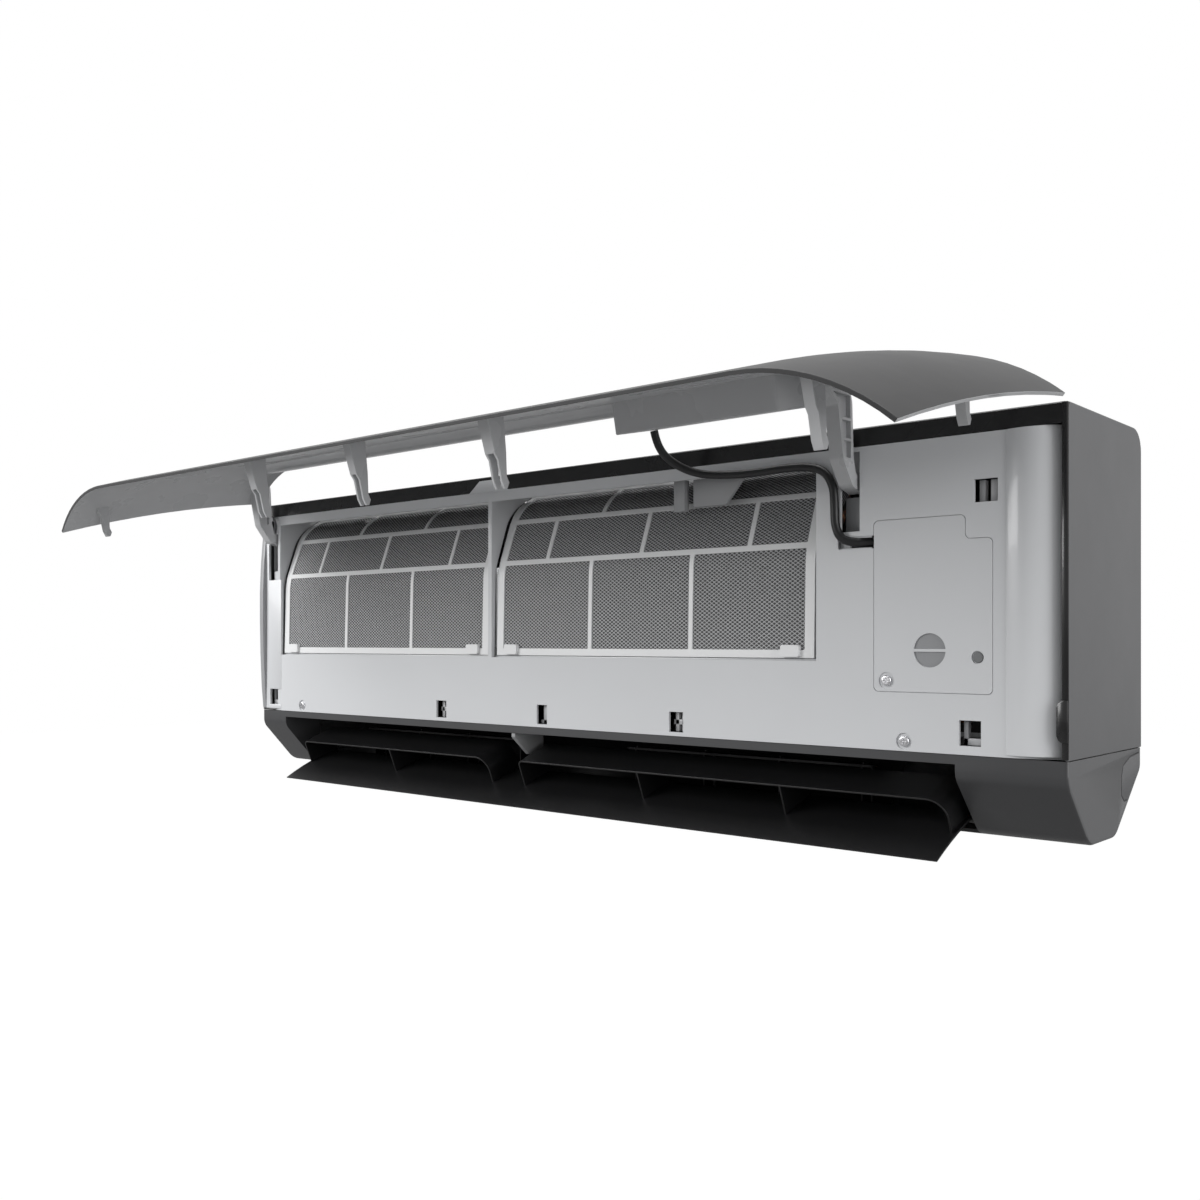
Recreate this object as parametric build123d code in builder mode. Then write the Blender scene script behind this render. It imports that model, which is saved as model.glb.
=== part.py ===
"""Wall-hung indoor unit of a mini split air conditioner, with its front panel raised.

The frame is +X to the right as seen from the room, -Y out of the wall and +Z up.
The origin is the centre of the back face of the wall plate.
"""
import os
from math import atan2, cos, degrees, radians, sin, tan

from build123d import *

os.makedirs("parts", exist_ok=True)

# ---------------------------------------------------------------- driving sizes
UNIT_WIDTH = 998.0
FRONT_DEPTH = 162.0       # wall to the face of the front cover
TOP_Z = 153.0
STRIP_Z = 138.0           # foot of the black strip along the top
SEAM_Z = -101.0           # seam between the cover and the lower casing
BOTTOM_Z = -166.0
WALL = 2.5                # moulded wall
FIT_GAP = 0.4             # gap between neighbouring mouldings
PIN_CLEARANCE = 0.05      # radial, pin in its bearing

HALF = UNIT_WIDTH / 2
FRONT_Y = -FRONT_DEPTH
INNER_HALF = HALF - WALL - FIT_GAP

# the two filters and the opening that they stand in
OPENING_LEFT = -462.0
OPENING_RIGHT = 296.0
OPENING_FOOT = -32.0
OPENING_HEAD = 127.0
PILLAR_X = -88.0
PILLAR_THICKNESS = 5.0
FILTER_FRAME = 3.0
FILTER_RAIL = 7.0
FILTER_RIB = 4.5
MESH_THICKNESS = 0.8

# fan, coil and duct
BULKHEAD_LEFT = -455.0
BULKHEAD_RIGHT = 312.0
FAN_Y = -78.0
FAN_Z = -58.0
FAN_RADIUS = 46.0
FAN_BLADES = 33
FAN_SHAFT_RADIUS = 5.0
COIL_THICKNESS = 24.0

# lower outlet and its louver
OUTLET_LEFT = -450.0
OUTLET_RIGHT = 415.0
LOUVER_LEFT = -416.0
LOUVER_RIGHT = 411.0
LOUVER_Y = -122.0
LOUVER_Z = -154.0
LOUVER_REACH = 66.0       # axis to the front edge of the blade
LOUVER_SLOPE = 21.8       # fall of the open blade, degrees
LOUVER_TIER = 31.0        # blade to the upper sheet
LOUVER_PIN_RADIUS = 2.5
VANE_COUNT = 4            # in each of the two banks
VANE_PITCH = 84.0

# front panel, given as it stands when closed
PANEL_HEAD = 130.0
PANEL_FOOT = -123.0
PANEL_STANDOFF = 46.0     # inner face in front of the cover
PANEL_BULGE = 6.0
PANEL_END_RETURN = 38.0   # how far the ends curve back
PANEL_END_LENGTH = 105.0
PANEL_WALL = 3.0
PANEL_OPEN_ANGLE = 78.0
HINGE_Y = FRONT_Y + 10.0
HINGE_Z = 142.0
HINGE_PIN_RADIUS = 3.0
ARM_X = (-478.0, 327.0)
ARM_THICKNESS = 12.0
SLOT_WIDTH = 17.0
SLOT_FOOT = 71.0
SLOT_HEAD = STRIP_Z - 4.0

LEAD_RADIUS = 3.5


def on_x(x):
    """Plane across the unit at x, with Y to its right and Z up."""
    return Plane.YZ.offset(x)


def on_front(y=FRONT_Y):
    """Plane that faces the room at y, with X to its right and Z up."""
    return Plane.XZ.offset(-y)


def save(name, piece):
    piece.label = name
    export_step(piece, f"parts/{name}.step")


# ---------------------------------------------------------------- outer casing
SIDE_REAR_Y = -1.6


def side_panel(sign, name):
    """One moulded end cap with a rear flange, from the seam to the top."""
    with BuildPart() as side:
        with BuildSketch(on_x(sign * (HALF - WALL))):
            with BuildLine():
                FilletPolyline(
                    (FRONT_Y, SEAM_Z + FIT_GAP),
                    (FRONT_Y, TOP_Z),
                    (SIDE_REAR_Y, TOP_Z),
                    (SIDE_REAR_Y, SEAM_Z + FIT_GAP),
                    radius=[6, 18],
                )
                Line((SIDE_REAR_Y, SEAM_Z + FIT_GAP), (FRONT_Y, SEAM_Z + FIT_GAP))
            make_face()
        extrude(amount=sign * WALL)
        outer = side.faces().sort_by(Axis.X)[-1 if sign > 0 else 0]
        fillet(outer.edges().filter_by(Plane.YZ).sort_by(Axis.Z)[1:], radius=1.6)
        with BuildSketch(Plane.XY.offset(SEAM_Z + FIT_GAP)):
            with Locations((sign * (HALF - WALL - 9), SIDE_REAR_Y - 1)):
                Rectangle(20, 2)
        extrude(amount=TOP_Z - SEAM_Z - 30)
    save(name, side.part)


side_panel(1, "side_panel_right")
side_panel(-1, "side_panel_left")

# Lower casing: the slanted chin with the air outlet.
CHIN_TOP_Z = SEAM_Z
CHIN_KNEE_Z = -118.0
CHIN_TOE_Y = FRONT_Y + 44
CHIN_HEEL_Y = -62.0
CHIN_REAR_Y = -3.0
OUTLET_LIP_Z = -108.0
OUTLET_WALL_REAR_Y = -111.5


def chin_outline(inset, top):
    """Closed section of the chin, drawn in from the outer face by inset."""
    front = FRONT_Y + inset
    rear = CHIN_REAR_Y - inset
    foot = BOTTOM_Z + inset
    with BuildLine() as line:
        FilletPolyline(
            (front, top),
            (front, CHIN_KNEE_Z + inset * 0.4),
            (CHIN_TOE_Y + inset * 0.5, foot),
            (CHIN_HEEL_Y - inset * 0.5, foot),
            (rear, CHIN_KNEE_Z + inset * 0.4),
            (rear, top),
            radius=[16, 22, 18, 10],
        )
        Line((rear, top), (front, top))
    return line.line.edges()


with BuildPart() as lower_casing:
    with BuildSketch(on_x(-HALF)) as chin_section:
        make_face(chin_outline(0, CHIN_TOP_Z))
    extrude(amount=UNIT_WIDTH)
    uprights = lower_casing.edges().filter_by(Axis.Z).filter_by(
        lambda edge: edge.center().Y < FRONT_Y + 1
    )
    fillet(uprights, radius=3)
    with BuildSketch(on_x(-HALF + WALL)) as chin_hollow:
        make_face(chin_outline(WALL, CHIN_TOP_Z + 1))
    extrude(amount=UNIT_WIDTH - 2 * WALL, mode=Mode.SUBTRACT)
    # the outlet runs from the lip in front to the toe underneath
    with BuildSketch(on_x(OUTLET_LEFT)):
        with BuildLine():
            Polyline(
                (FRONT_Y - 5, OUTLET_LIP_Z),
                (FRONT_Y + 20, OUTLET_LIP_Z),
                (CHIN_TOE_Y + 6, BOTTOM_Z + 14),
                (CHIN_TOE_Y + 6, BOTTOM_Z - 5),
                (FRONT_Y - 5, BOTTOM_Z - 5),
                close=True,
            )
        make_face()
    extrude(amount=OUTLET_RIGHT - OUTLET_LEFT, mode=Mode.SUBTRACT)
    # a wall at each end of the outlet carries the louver's pin
    for wall_x in (OUTLET_LEFT - WALL, OUTLET_RIGHT):
        with BuildSketch(on_x(wall_x)):
            make_face(chin_outline(WALL / 2, CHIN_TOP_Z))
            with Locations((OUTLET_WALL_REAR_Y + 100, CHIN_TOP_Z)):
                Rectangle(200, 200, mode=Mode.SUBTRACT)
        extrude(amount=WALL)
    with BuildSketch(on_x(OUTLET_LEFT - 2 * WALL)):
        with Locations((LOUVER_Y, LOUVER_Z)):
            Circle(LOUVER_PIN_RADIUS + PIN_CLEARANCE)
    extrude(amount=OUTLET_RIGHT - OUTLET_LEFT + 4 * WALL, mode=Mode.SUBTRACT)
save("lower_casing", lower_casing.part)

# Front cover: a bowed plate with returns at its ends.
COVER_FLAT_HALF = 454.0
COVER_END_SETBACK = 14.0
COVER_RETURN_Y = FRONT_Y + 30
COVER_FOOT = SEAM_Z + FIT_GAP
COVER_HEAD = STRIP_Z - FIT_GAP

TERMINAL_LEFT = 348.0
TERMINAL_RIGHT = 444.0
TERMINAL_FOOT = -55.0
TERMINAL_HEAD = 78.0
TERMINAL_NOTCH_X = 423.0
TERMINAL_NOTCH_Z = 60.0
TERMINAL_DEPTH = 1.5
TERMINAL_SCREW = (358.8, -46.6)
GRIP_CENTRE = (394.6, -23.0)
GRIP_RADIUS = 13.0
BUTTON_CENTRE = (432.6, -28.0)
BUTTON_RADIUS = 4.0

LEAD_SLOT_LEFT = 316.0
LEAD_SLOT_RIGHT = 358.0
LEAD_SLOT_Z = 62.0
LEAD_SLOT_HEIGHT = 10.0

COVER_SCREWS = ((373.6, -93.0), (-415.8, -93.0))
SCREW_HEAD_RADIUS = 4.2
SCREW_RECESS_RADIUS = 6.5
LATCH_WINDOWS = (
    (-476.0, -84.0, 14, 18),
    (-163.0, -88.0, 16, 18),
    (-14.0, -88.0, 14, 19),
    (152.4, -88.0, 16, 18),
    (426.8, -84.4, 17, 19),
    (439.0, 95.0, 18, 17),
)


def cover_plan(inset, rear):
    """Plan outline of the cover, drawn in by inset, from its face back to rear."""
    flat = COVER_FLAT_HALF - inset * 0.3
    end = INNER_HALF - inset
    face = FRONT_Y + inset
    shoulder = FRONT_Y + COVER_END_SETBACK
    with BuildLine() as line:
        Line((-flat, face), (flat, face))
        TangentArc((flat, face), (end, shoulder + inset), tangent=(1, 0))
        Polyline((end, shoulder + inset), (end, rear), (-end, rear), (-end, shoulder + inset))
        TangentArc((-flat, face), (-end, shoulder + inset), tangent=(-1, 0))
    return line.line.edges()


def terminal_outline(grow):
    """Outline of the terminal cover, with the step at its upper right corner."""
    with BuildLine() as line:
        FilletPolyline(
            (TERMINAL_LEFT - grow, TERMINAL_FOOT - grow),
            (TERMINAL_RIGHT + grow, TERMINAL_FOOT - grow),
            (TERMINAL_RIGHT + grow, TERMINAL_NOTCH_Z + grow),
            (TERMINAL_NOTCH_X + grow, TERMINAL_NOTCH_Z + grow),
            (TERMINAL_NOTCH_X + grow, TERMINAL_HEAD + grow),
            (TERMINAL_LEFT - grow, TERMINAL_HEAD + grow),
            radius=4,
            close=True,
        )
    return line.line.edges()


def filter_path(setback, head_y):
    """Side view of a filter: upright in front, then curving back over the coil."""
    front = FRONT_Y + 5 + setback
    with BuildLine() as line:
        FilletPolyline(
            (front, OPENING_FOOT + 2),
            (front + 2, 58),
            (front + 24, 118 - setback * 0.4),
            (front + 62, 141 - setback),
            (head_y, 143 - setback),
            radius=[70, 45, 60],
        )
    return line.line.edges()


FILTER_HEAD_Y = FRONT_Y + 112

with BuildPart() as front_cover:
    with BuildSketch(Plane.XY.offset(COVER_FOOT)):
        make_face(cover_plan(0, COVER_RETURN_Y))
    extrude(amount=COVER_HEAD - COVER_FOOT)
    with BuildSketch(Plane.XY.offset(COVER_FOOT - 1)):
        make_face(cover_plan(WALL, COVER_RETURN_Y + 5))
    extrude(amount=COVER_HEAD - COVER_FOOT + 2, mode=Mode.SUBTRACT)
    # opening over the filters
    with BuildSketch(on_front(FRONT_Y - 1)):
        with Locations(
            ((OPENING_LEFT + OPENING_RIGHT) / 2, (OPENING_FOOT + OPENING_HEAD) / 2)
        ):
            Rectangle(OPENING_RIGHT - OPENING_LEFT, OPENING_HEAD - OPENING_FOOT)
    extrude(amount=-WALL - 2, mode=Mode.SUBTRACT)
    # reveals at both ends and the pillar between the filters follow the filters back
    for reveal_x in (OPENING_LEFT - WALL, PILLAR_X - PILLAR_THICKNESS / 2, OPENING_RIGHT):
        thickness = PILLAR_THICKNESS if reveal_x == PILLAR_X - PILLAR_THICKNESS / 2 else WALL
        with BuildSketch(on_x(reveal_x)):
            with BuildLine():
                FilletPolyline(
                    (FRONT_Y, OPENING_FOOT - 4),
                    (FRONT_Y + 4, OPENING_FOOT - 4),
                    (FRONT_Y + 6, 58),
                    (FRONT_Y + 26, 116),
                    (FRONT_Y + 60, COVER_HEAD),
                    radius=[1, 60, 45],
                )
                Polyline(
                    (FRONT_Y + 60, COVER_HEAD), (FRONT_Y, COVER_HEAD), (FRONT_Y, OPENING_FOOT - 4)
                )
            make_face()
        extrude(amount=thickness)
    # relief for the hinge brackets, behind the head of the cover
    with BuildSketch(on_front(FRONT_Y + WALL / 2)):
        for arm_x in ARM_X:
            with Locations((arm_x, COVER_HEAD)):
                Rectangle(SLOT_WIDTH + 6, 2 * (COVER_HEAD - SLOT_HEAD) + 2)
    extrude(amount=-COVER_END_SETBACK - 8, mode=Mode.SUBTRACT)
    # slots that the panel arms swing through
    with BuildSketch(on_front(FRONT_Y - 1)):
        for arm_x in ARM_X:
            with Locations((arm_x, (SLOT_FOOT + SLOT_HEAD) / 2)):
                Rectangle(SLOT_WIDTH, SLOT_HEAD - SLOT_FOOT)
    extrude(amount=-COVER_END_SETBACK - 8, mode=Mode.SUBTRACT)
    # slot where the display lead dives behind the terminal cover
    with BuildSketch(on_front(FRONT_Y - 1)):
        with Locations(((LEAD_SLOT_LEFT + LEAD_SLOT_RIGHT) / 2, LEAD_SLOT_Z)):
            RectangleRounded(LEAD_SLOT_RIGHT - LEAD_SLOT_LEFT, LEAD_SLOT_HEIGHT, 2)
    extrude(amount=-WALL - 2, mode=Mode.SUBTRACT)
    # latch windows
    with BuildSketch(on_front(FRONT_Y - 1)):
        for window_x, window_z, window_width, window_height in LATCH_WINDOWS:
            with Locations((window_x, window_z)):
                Rectangle(window_width, window_height)
    extrude(amount=-12, mode=Mode.SUBTRACT)
    # seat of the terminal cover, with the button's hole and the screws' recesses
    with BuildSketch(on_front()):
        make_face(terminal_outline(FIT_GAP))
    extrude(amount=-TERMINAL_DEPTH, mode=Mode.SUBTRACT)
    with BuildSketch(on_front()):
        with Locations(BUTTON_CENTRE):
            Circle(BUTTON_RADIUS + PIN_CLEARANCE)
        with Locations(TERMINAL_SCREW, *COVER_SCREWS):
            Circle(1.6)
    extrude(amount=-WALL - 1, mode=Mode.SUBTRACT)
    with BuildSketch(on_front()):
        with Locations(*COVER_SCREWS):
            Circle(SCREW_RECESS_RADIUS)
    extrude(amount=-1.2, mode=Mode.SUBTRACT)
save("front_cover", front_cover.part)

# Terminal cover: a plate flush in its seat, with a round grip recess and its bar.
with BuildPart() as terminal_cover:
    with BuildSketch(on_front()):
        make_face(terminal_outline(0))
        with Locations(GRIP_CENTRE):
            Circle(GRIP_RADIUS, mode=Mode.SUBTRACT)
            Rectangle(2 * GRIP_RADIUS + 1, 2.2)
        with Locations(BUTTON_CENTRE):
            Circle(BUTTON_RADIUS + 0.8, mode=Mode.SUBTRACT)
        with Locations(TERMINAL_SCREW):
            Circle(1.6, mode=Mode.SUBTRACT)
    extrude(amount=-TERMINAL_DEPTH)
    with BuildSketch(on_front()):
        with Locations(TERMINAL_SCREW):
            Circle(SCREW_RECESS_RADIUS)
    extrude(amount=-0.8, mode=Mode.SUBTRACT)
save("terminal_cover", terminal_cover.part)

# Screws of the front and terminal covers: domed heads with crossed slots.
SCREW_SHANK_RADIUS = 1.5
SCREW_LENGTH = 9.0
SCREW_HEAD_HEIGHT = 2.2

with BuildPart() as cover_screws:
    for (screw_x, screw_z), seat in (
        (TERMINAL_SCREW, 0.8),
        (COVER_SCREWS[0], 1.2),
        (COVER_SCREWS[1], 1.2),
    ):
        seat_y = FRONT_Y + seat
        with BuildSketch(on_front(seat_y)):
            with Locations((screw_x, screw_z)):
                Circle(SCREW_HEAD_RADIUS)
        head = extrude(amount=SCREW_HEAD_HEIGHT)
        fillet(head.edges().group_by(Axis.Y)[0], radius=1.2)
        with BuildSketch(on_front(seat_y)):
            with Locations((screw_x, screw_z)):
                Circle(SCREW_SHANK_RADIUS)
        extrude(amount=-SCREW_LENGTH)
        with BuildSketch(on_front(seat_y - SCREW_HEAD_HEIGHT)):
            with Locations((screw_x, screw_z)):
                Rectangle(4.4, 0.9)
                Rectangle(0.9, 4.4)
        extrude(amount=-1.1, mode=Mode.SUBTRACT)
save("cover_screws", cover_screws.part)

# Manual run button, seen through the hole in the terminal cover.
BUTTON_TRAVEL = 1.5

with BuildPart() as manual_button:
    with BuildSketch(on_front(FRONT_Y + 0.6)):
        with Locations(BUTTON_CENTRE):
            Circle(BUTTON_RADIUS)
    extrude(amount=-6)
    with BuildSketch(on_front(FRONT_Y + WALL + 0.1)):
        with Locations(BUTTON_CENTRE):
            Circle(BUTTON_RADIUS + 1.5)
    extrude(amount=-1.2)
save("manual_button", manual_button.part)

# Black top: a front lip over the cover and a grille of slots for the air drawn in.
GRILLE_WALL = 2.5
GRILLE_REAR_Y = -6.0
GRILLE_SLOT = (34.0, 4.0)
GRILLE_PITCH = (40.0, 9.0)
GRILLE_SLOTS = (22, 9)

with BuildPart() as top_grille:
    with BuildSketch(on_x(-INNER_HALF)):
        with BuildLine():
            Polyline(
                (FRONT_Y, STRIP_Z),
                (FRONT_Y, TOP_Z),
                (GRILLE_REAR_Y, TOP_Z),
                (GRILLE_REAR_Y, TOP_Z - GRILLE_WALL),
                (FRONT_Y + GRILLE_WALL, TOP_Z - GRILLE_WALL),
                (FRONT_Y + GRILLE_WALL, STRIP_Z),
                close=True,
            )
        make_face()
    extrude(amount=2 * INNER_HALF)
    fillet(top_grille.edges().filter_by(Axis.X).sort_by(Axis.Y).group_by(Axis.Z)[-1][0], 2)
    with BuildSketch(Plane.XY.offset(TOP_Z)):
        with Locations((PILLAR_X + 10, FRONT_Y + 84)):
            with GridLocations(*GRILLE_PITCH, *GRILLE_SLOTS):
                SlotOverall(*GRILLE_SLOT)
    extrude(amount=-GRILLE_WALL, mode=Mode.SUBTRACT)
save("top_grille", top_grille.part)

# ---------------------------------------------------------------- front panel
# The panel is drawn closed, and turned about its hinge to the open place of the photograph.
PANEL_MID_Z = (PANEL_HEAD + PANEL_FOOT) / 2
HINGE_AXIS = Axis((0, HINGE_Y, HINGE_Z), (1, 0, 0))


def opened(piece):
    """A piece of the closed panel, turned up about the hinge."""
    return piece.rotate(HINGE_AXIS, -PANEL_OPEN_ANGLE)


def panel_bulge(z):
    """How far the inner face stands out beyond its edges at height z."""
    share = (z - PANEL_MID_Z) / (PANEL_HEAD - PANEL_MID_Z)
    return PANEL_BULGE * (1 - share * share)


def panel_inner_y(z):
    return FRONT_Y - PANEL_STANDOFF - panel_bulge(z)


def panel_section(z):
    """Plan outline of the panel's wall at height z, its ends curving back."""
    inner_y = panel_inner_y(z)
    outer_y = inner_y - PANEL_WALL
    flat = HALF - PANEL_END_LENGTH
    drop = PANEL_END_RETURN + PANEL_WALL
    end_radius = (PANEL_END_LENGTH**2 + drop**2) / (2 * drop)
    turn = atan2(PANEL_END_LENGTH, end_radius - drop)
    inner_end = (
        flat + (end_radius - PANEL_WALL) * sin(turn),
        outer_y + end_radius - (end_radius - PANEL_WALL) * cos(turn),
    )
    with BuildLine() as line:
        Line((-flat, outer_y), (flat, outer_y))
        TangentArc((flat, outer_y), (HALF, outer_y + drop), tangent=(1, 0))
        Line((HALF, outer_y + drop), inner_end)
        TangentArc((flat, inner_y), inner_end, tangent=(1, 0))
        Line((flat, inner_y), (-flat, inner_y))
        TangentArc((-flat, inner_y), (-inner_end[0], inner_end[1]), tangent=(-1, 0))
        Line((-inner_end[0], inner_end[1]), (-HALF, outer_y + drop))
        TangentArc((-flat, outer_y), (-HALF, outer_y + drop), tangent=(-1, 0))
    return line.line.edges()


with BuildPart() as panel_closed:
    for section_z in (PANEL_FOOT, PANEL_MID_Z, PANEL_HEAD):
        with BuildSketch(Plane.XY.offset(section_z)):
            make_face(panel_section(section_z))
    loft()
panel_shell = opened(panel_closed.part)
save("panel_shell", panel_shell)


def outside_section(z):
    """Plan outline at height z of all that lies in front of the middle of the wall."""
    middle_y = panel_inner_y(z) - PANEL_WALL / 2
    flat = HALF - PANEL_END_LENGTH
    drop = PANEL_END_RETURN + PANEL_WALL
    end_radius = (PANEL_END_LENGTH**2 + drop**2) / (2 * drop)
    turn = atan2(PANEL_END_LENGTH, end_radius - drop)
    middle_radius = end_radius - PANEL_WALL / 2
    end_x = flat + middle_radius * sin(turn)
    end_y = middle_y + middle_radius * (1 - cos(turn))
    with BuildLine() as line:
        Line((-flat, middle_y), (flat, middle_y))
        TangentArc((flat, middle_y), (end_x, end_y), tangent=(1, 0))
        Polyline(
            (end_x, end_y),
            (HALF + OUTSIDE_MARGIN, end_y),
            (HALF + OUTSIDE_MARGIN, middle_y - OUTSIDE_MARGIN),
            (-HALF - OUTSIDE_MARGIN, middle_y - OUTSIDE_MARGIN),
            (-HALF - OUTSIDE_MARGIN, end_y),
            (-end_x, end_y),
        )
        TangentArc((-flat, middle_y), (-end_x, end_y), tangent=(-1, 0))
    return line.line.edges()


# The space in front of the panel, also a little above its head, which the pieces
# fixed to its inner face keep out of.
OUTSIDE_MARGIN = 40.0
with BuildPart() as panel_outside:
    for section_z in (PANEL_FOOT, PANEL_MID_Z, PANEL_HEAD):
        with BuildSketch(Plane.XY.offset(section_z)):
            make_face(outside_section(section_z))
    loft()
    with BuildSketch(Plane.XY.offset(PANEL_HEAD)):
        make_face(outside_section(PANEL_HEAD))
    extrude(amount=OUTSIDE_MARGIN)


def seated(piece):
    """The panel's wall cut from a piece, leaving the part of it inside the panel."""
    pieces = piece - panel_closed.part - panel_outside.part
    return max(pieces.solids(), key=lambda solid: solid.volume)


# Inner liner: a long arched channel that stiffens the head of the panel.
LINER_LEFT = -455.0
LINER_RIGHT = 146.0
LINER_FOOT = 64.0
LINER_HEAD = 125.0
LINER_DEPTH = 9.0
ROOT_OVERLAP = 1.5        # sunk into the panel's wall before it is cut away


def liner_section(inset):
    """Face of the liner's arch, drawn in by inset."""
    low = LINER_FOOT + inset
    high = LINER_HEAD - inset
    middle = (low + high) / 2
    with BuildLine() as line:
        Polyline(
            (panel_inner_y(low), low),
            (panel_inner_y(low) - ROOT_OVERLAP, low),
            (panel_inner_y(high) - ROOT_OVERLAP, high),
            (panel_inner_y(high), high),
        )
        ThreePointArc(
            (panel_inner_y(high), high),
            (panel_inner_y(middle) + LINER_DEPTH - inset, middle),
            (panel_inner_y(low), low),
        )
    return line.line.edges()


with BuildPart() as liner_blank:
    with BuildSketch(on_x(LINER_LEFT)):
        make_face(liner_section(0))
    extrude(amount=LINER_RIGHT - LINER_LEFT)
panel_liner = opened(seated(liner_blank.part))
save("panel_liner", panel_liner)

# Display box: the housing of the display board, with a lip round its lid.
BOX_LEFT = 150.0
BOX_RIGHT = 312.0
BOX_FOOT = 56.0
BOX_HEAD = 112.0
BOX_DEPTH = 22.0
BOX_FACE_Y = FRONT_Y - PANEL_STANDOFF + BOX_DEPTH
LID_THICKNESS = 1.6
LID_INSET = 5.0

with BuildPart() as box_blank:
    with BuildSketch(on_front(BOX_FACE_Y)):
        with Locations(((BOX_LEFT + BOX_RIGHT) / 2, (BOX_FOOT + BOX_HEAD) / 2)):
            Rectangle(BOX_RIGHT - BOX_LEFT, BOX_HEAD - BOX_FOOT)
    extrude(amount=BOX_DEPTH + PANEL_BULGE + ROOT_OVERLAP)
    fillet(box_blank.edges().filter_by(Axis.Y), radius=3)
    fillet(box_blank.faces().sort_by(Axis.Y)[-1].edges(), radius=1.2)
    with BuildSketch(on_front(BOX_FACE_Y)):
        with Locations(((BOX_LEFT + BOX_RIGHT) / 2, (BOX_FOOT + BOX_HEAD) / 2)):
            RectangleRounded(
                BOX_RIGHT - BOX_LEFT - 2 * LID_INSET, BOX_HEAD - BOX_FOOT - 2 * LID_INSET, 4
            )
    extrude(amount=LID_THICKNESS, mode=Mode.SUBTRACT)
display_box = opened(seated(box_blank.part))
save("display_box", display_box)

with BuildPart() as lid_blank:
    with BuildSketch(on_front(BOX_FACE_Y)):
        with Locations(((BOX_LEFT + BOX_RIGHT) / 2, (BOX_FOOT + BOX_HEAD) / 2)):
            RectangleRounded(
                BOX_RIGHT - BOX_LEFT - 2 * LID_INSET - FIT_GAP,
                BOX_HEAD - BOX_FOOT - 2 * LID_INSET - FIT_GAP,
                3.8,
            )
    extrude(amount=LID_THICKNESS)
display_lid = opened(lid_blank.part)
save("display_lid", display_lid)


# Latches: prongs on the panel that snap into the windows of the cover.
LATCH_DEPTH = 5.0         # how far a prong reaches behind the face of the cover
LATCH_WALL = 2.2


def latch(center_x, center_z, width, twin):
    """One latch: a stepped foot with a single or a split prong and a barbed tip."""
    root_y = panel_inner_y(center_z) - ROOT_OVERLAP
    tip_y = FRONT_Y + LATCH_DEPTH
    waist_y = FRONT_Y - 22
    with BuildPart() as prong:
        with BuildSketch(on_x(center_x - width / 2)):
            with BuildLine():
                Polyline(
                    (root_y, center_z - 9),
                    (waist_y, center_z - 6),
                    (waist_y + 5, center_z - 3.5),
                    (tip_y - 6, center_z - 3),
                    (tip_y, center_z - 1),
                    (tip_y, center_z + 2),
                    (tip_y - 4, center_z + 4.5),
                    (tip_y - 9, center_z + 3),
                    (waist_y, center_z + 6),
                    (root_y, center_z + 9),
                    close=True,
                )
            make_face()
        extrude(amount=width)
        if twin:
            with BuildSketch(on_front(tip_y + 1)):
                with Locations((center_x, center_z)):
                    Rectangle(width - 2 * LATCH_WALL, 24)
            extrude(amount=tip_y - waist_y + 1, mode=Mode.SUBTRACT)
    return seated(prong.part)


LATCHES = ((6, False), (10, True), (9, True), (11, True), (8, False), (8, False))
panel_latches = Part(
    children=[
        opened(latch(window[0], window[1], width, twin))
        for window, (width, twin) in zip(LATCH_WINDOWS, LATCHES)
    ]
)
save("panel_latches", panel_latches)

# Goose-neck arms: from the panel's head down in front of the cover, back through
# its slot and up to the hinge pin. Their outline is given on the open panel, as
# (distance in front of the cover, height above the hinge axis).
ARM_OUTLINE = (
    (15.0, 53.5),
    (47.0, 49.3),
    (43.0, 36.0),
    (29.0, 26.0),
    (25.0, 4.0),
    (21.0, -16.0),
    (6.0, -36.0),
    (-12.0, -41.0),
    (-24.0, -33.0),
    (-20.6, -12.0),
    (-16.5, 1.0),
    (-7.0, -5.0),
    (-10.0, -14.0),
    (-9.0, -24.0),
    (1.0, -27.0),
    (5.0, -12.0),
    (7.0, 30.0),
)
ARM_CORNERS = (0.1, 0.1, 5, 5, 12, 10, 10, 10, 8, 6, 2, 2, 5, 4, 4, 12, 12)
HUB_RADIUS = 6.0
ARM_WEB = 4.0             # thickness between the ribs of an arm
ARM_RIM = 3.2


def arm_points(outline):
    return [(FRONT_Y - reach, HINGE_Z + rise) for reach, rise in outline]


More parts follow.
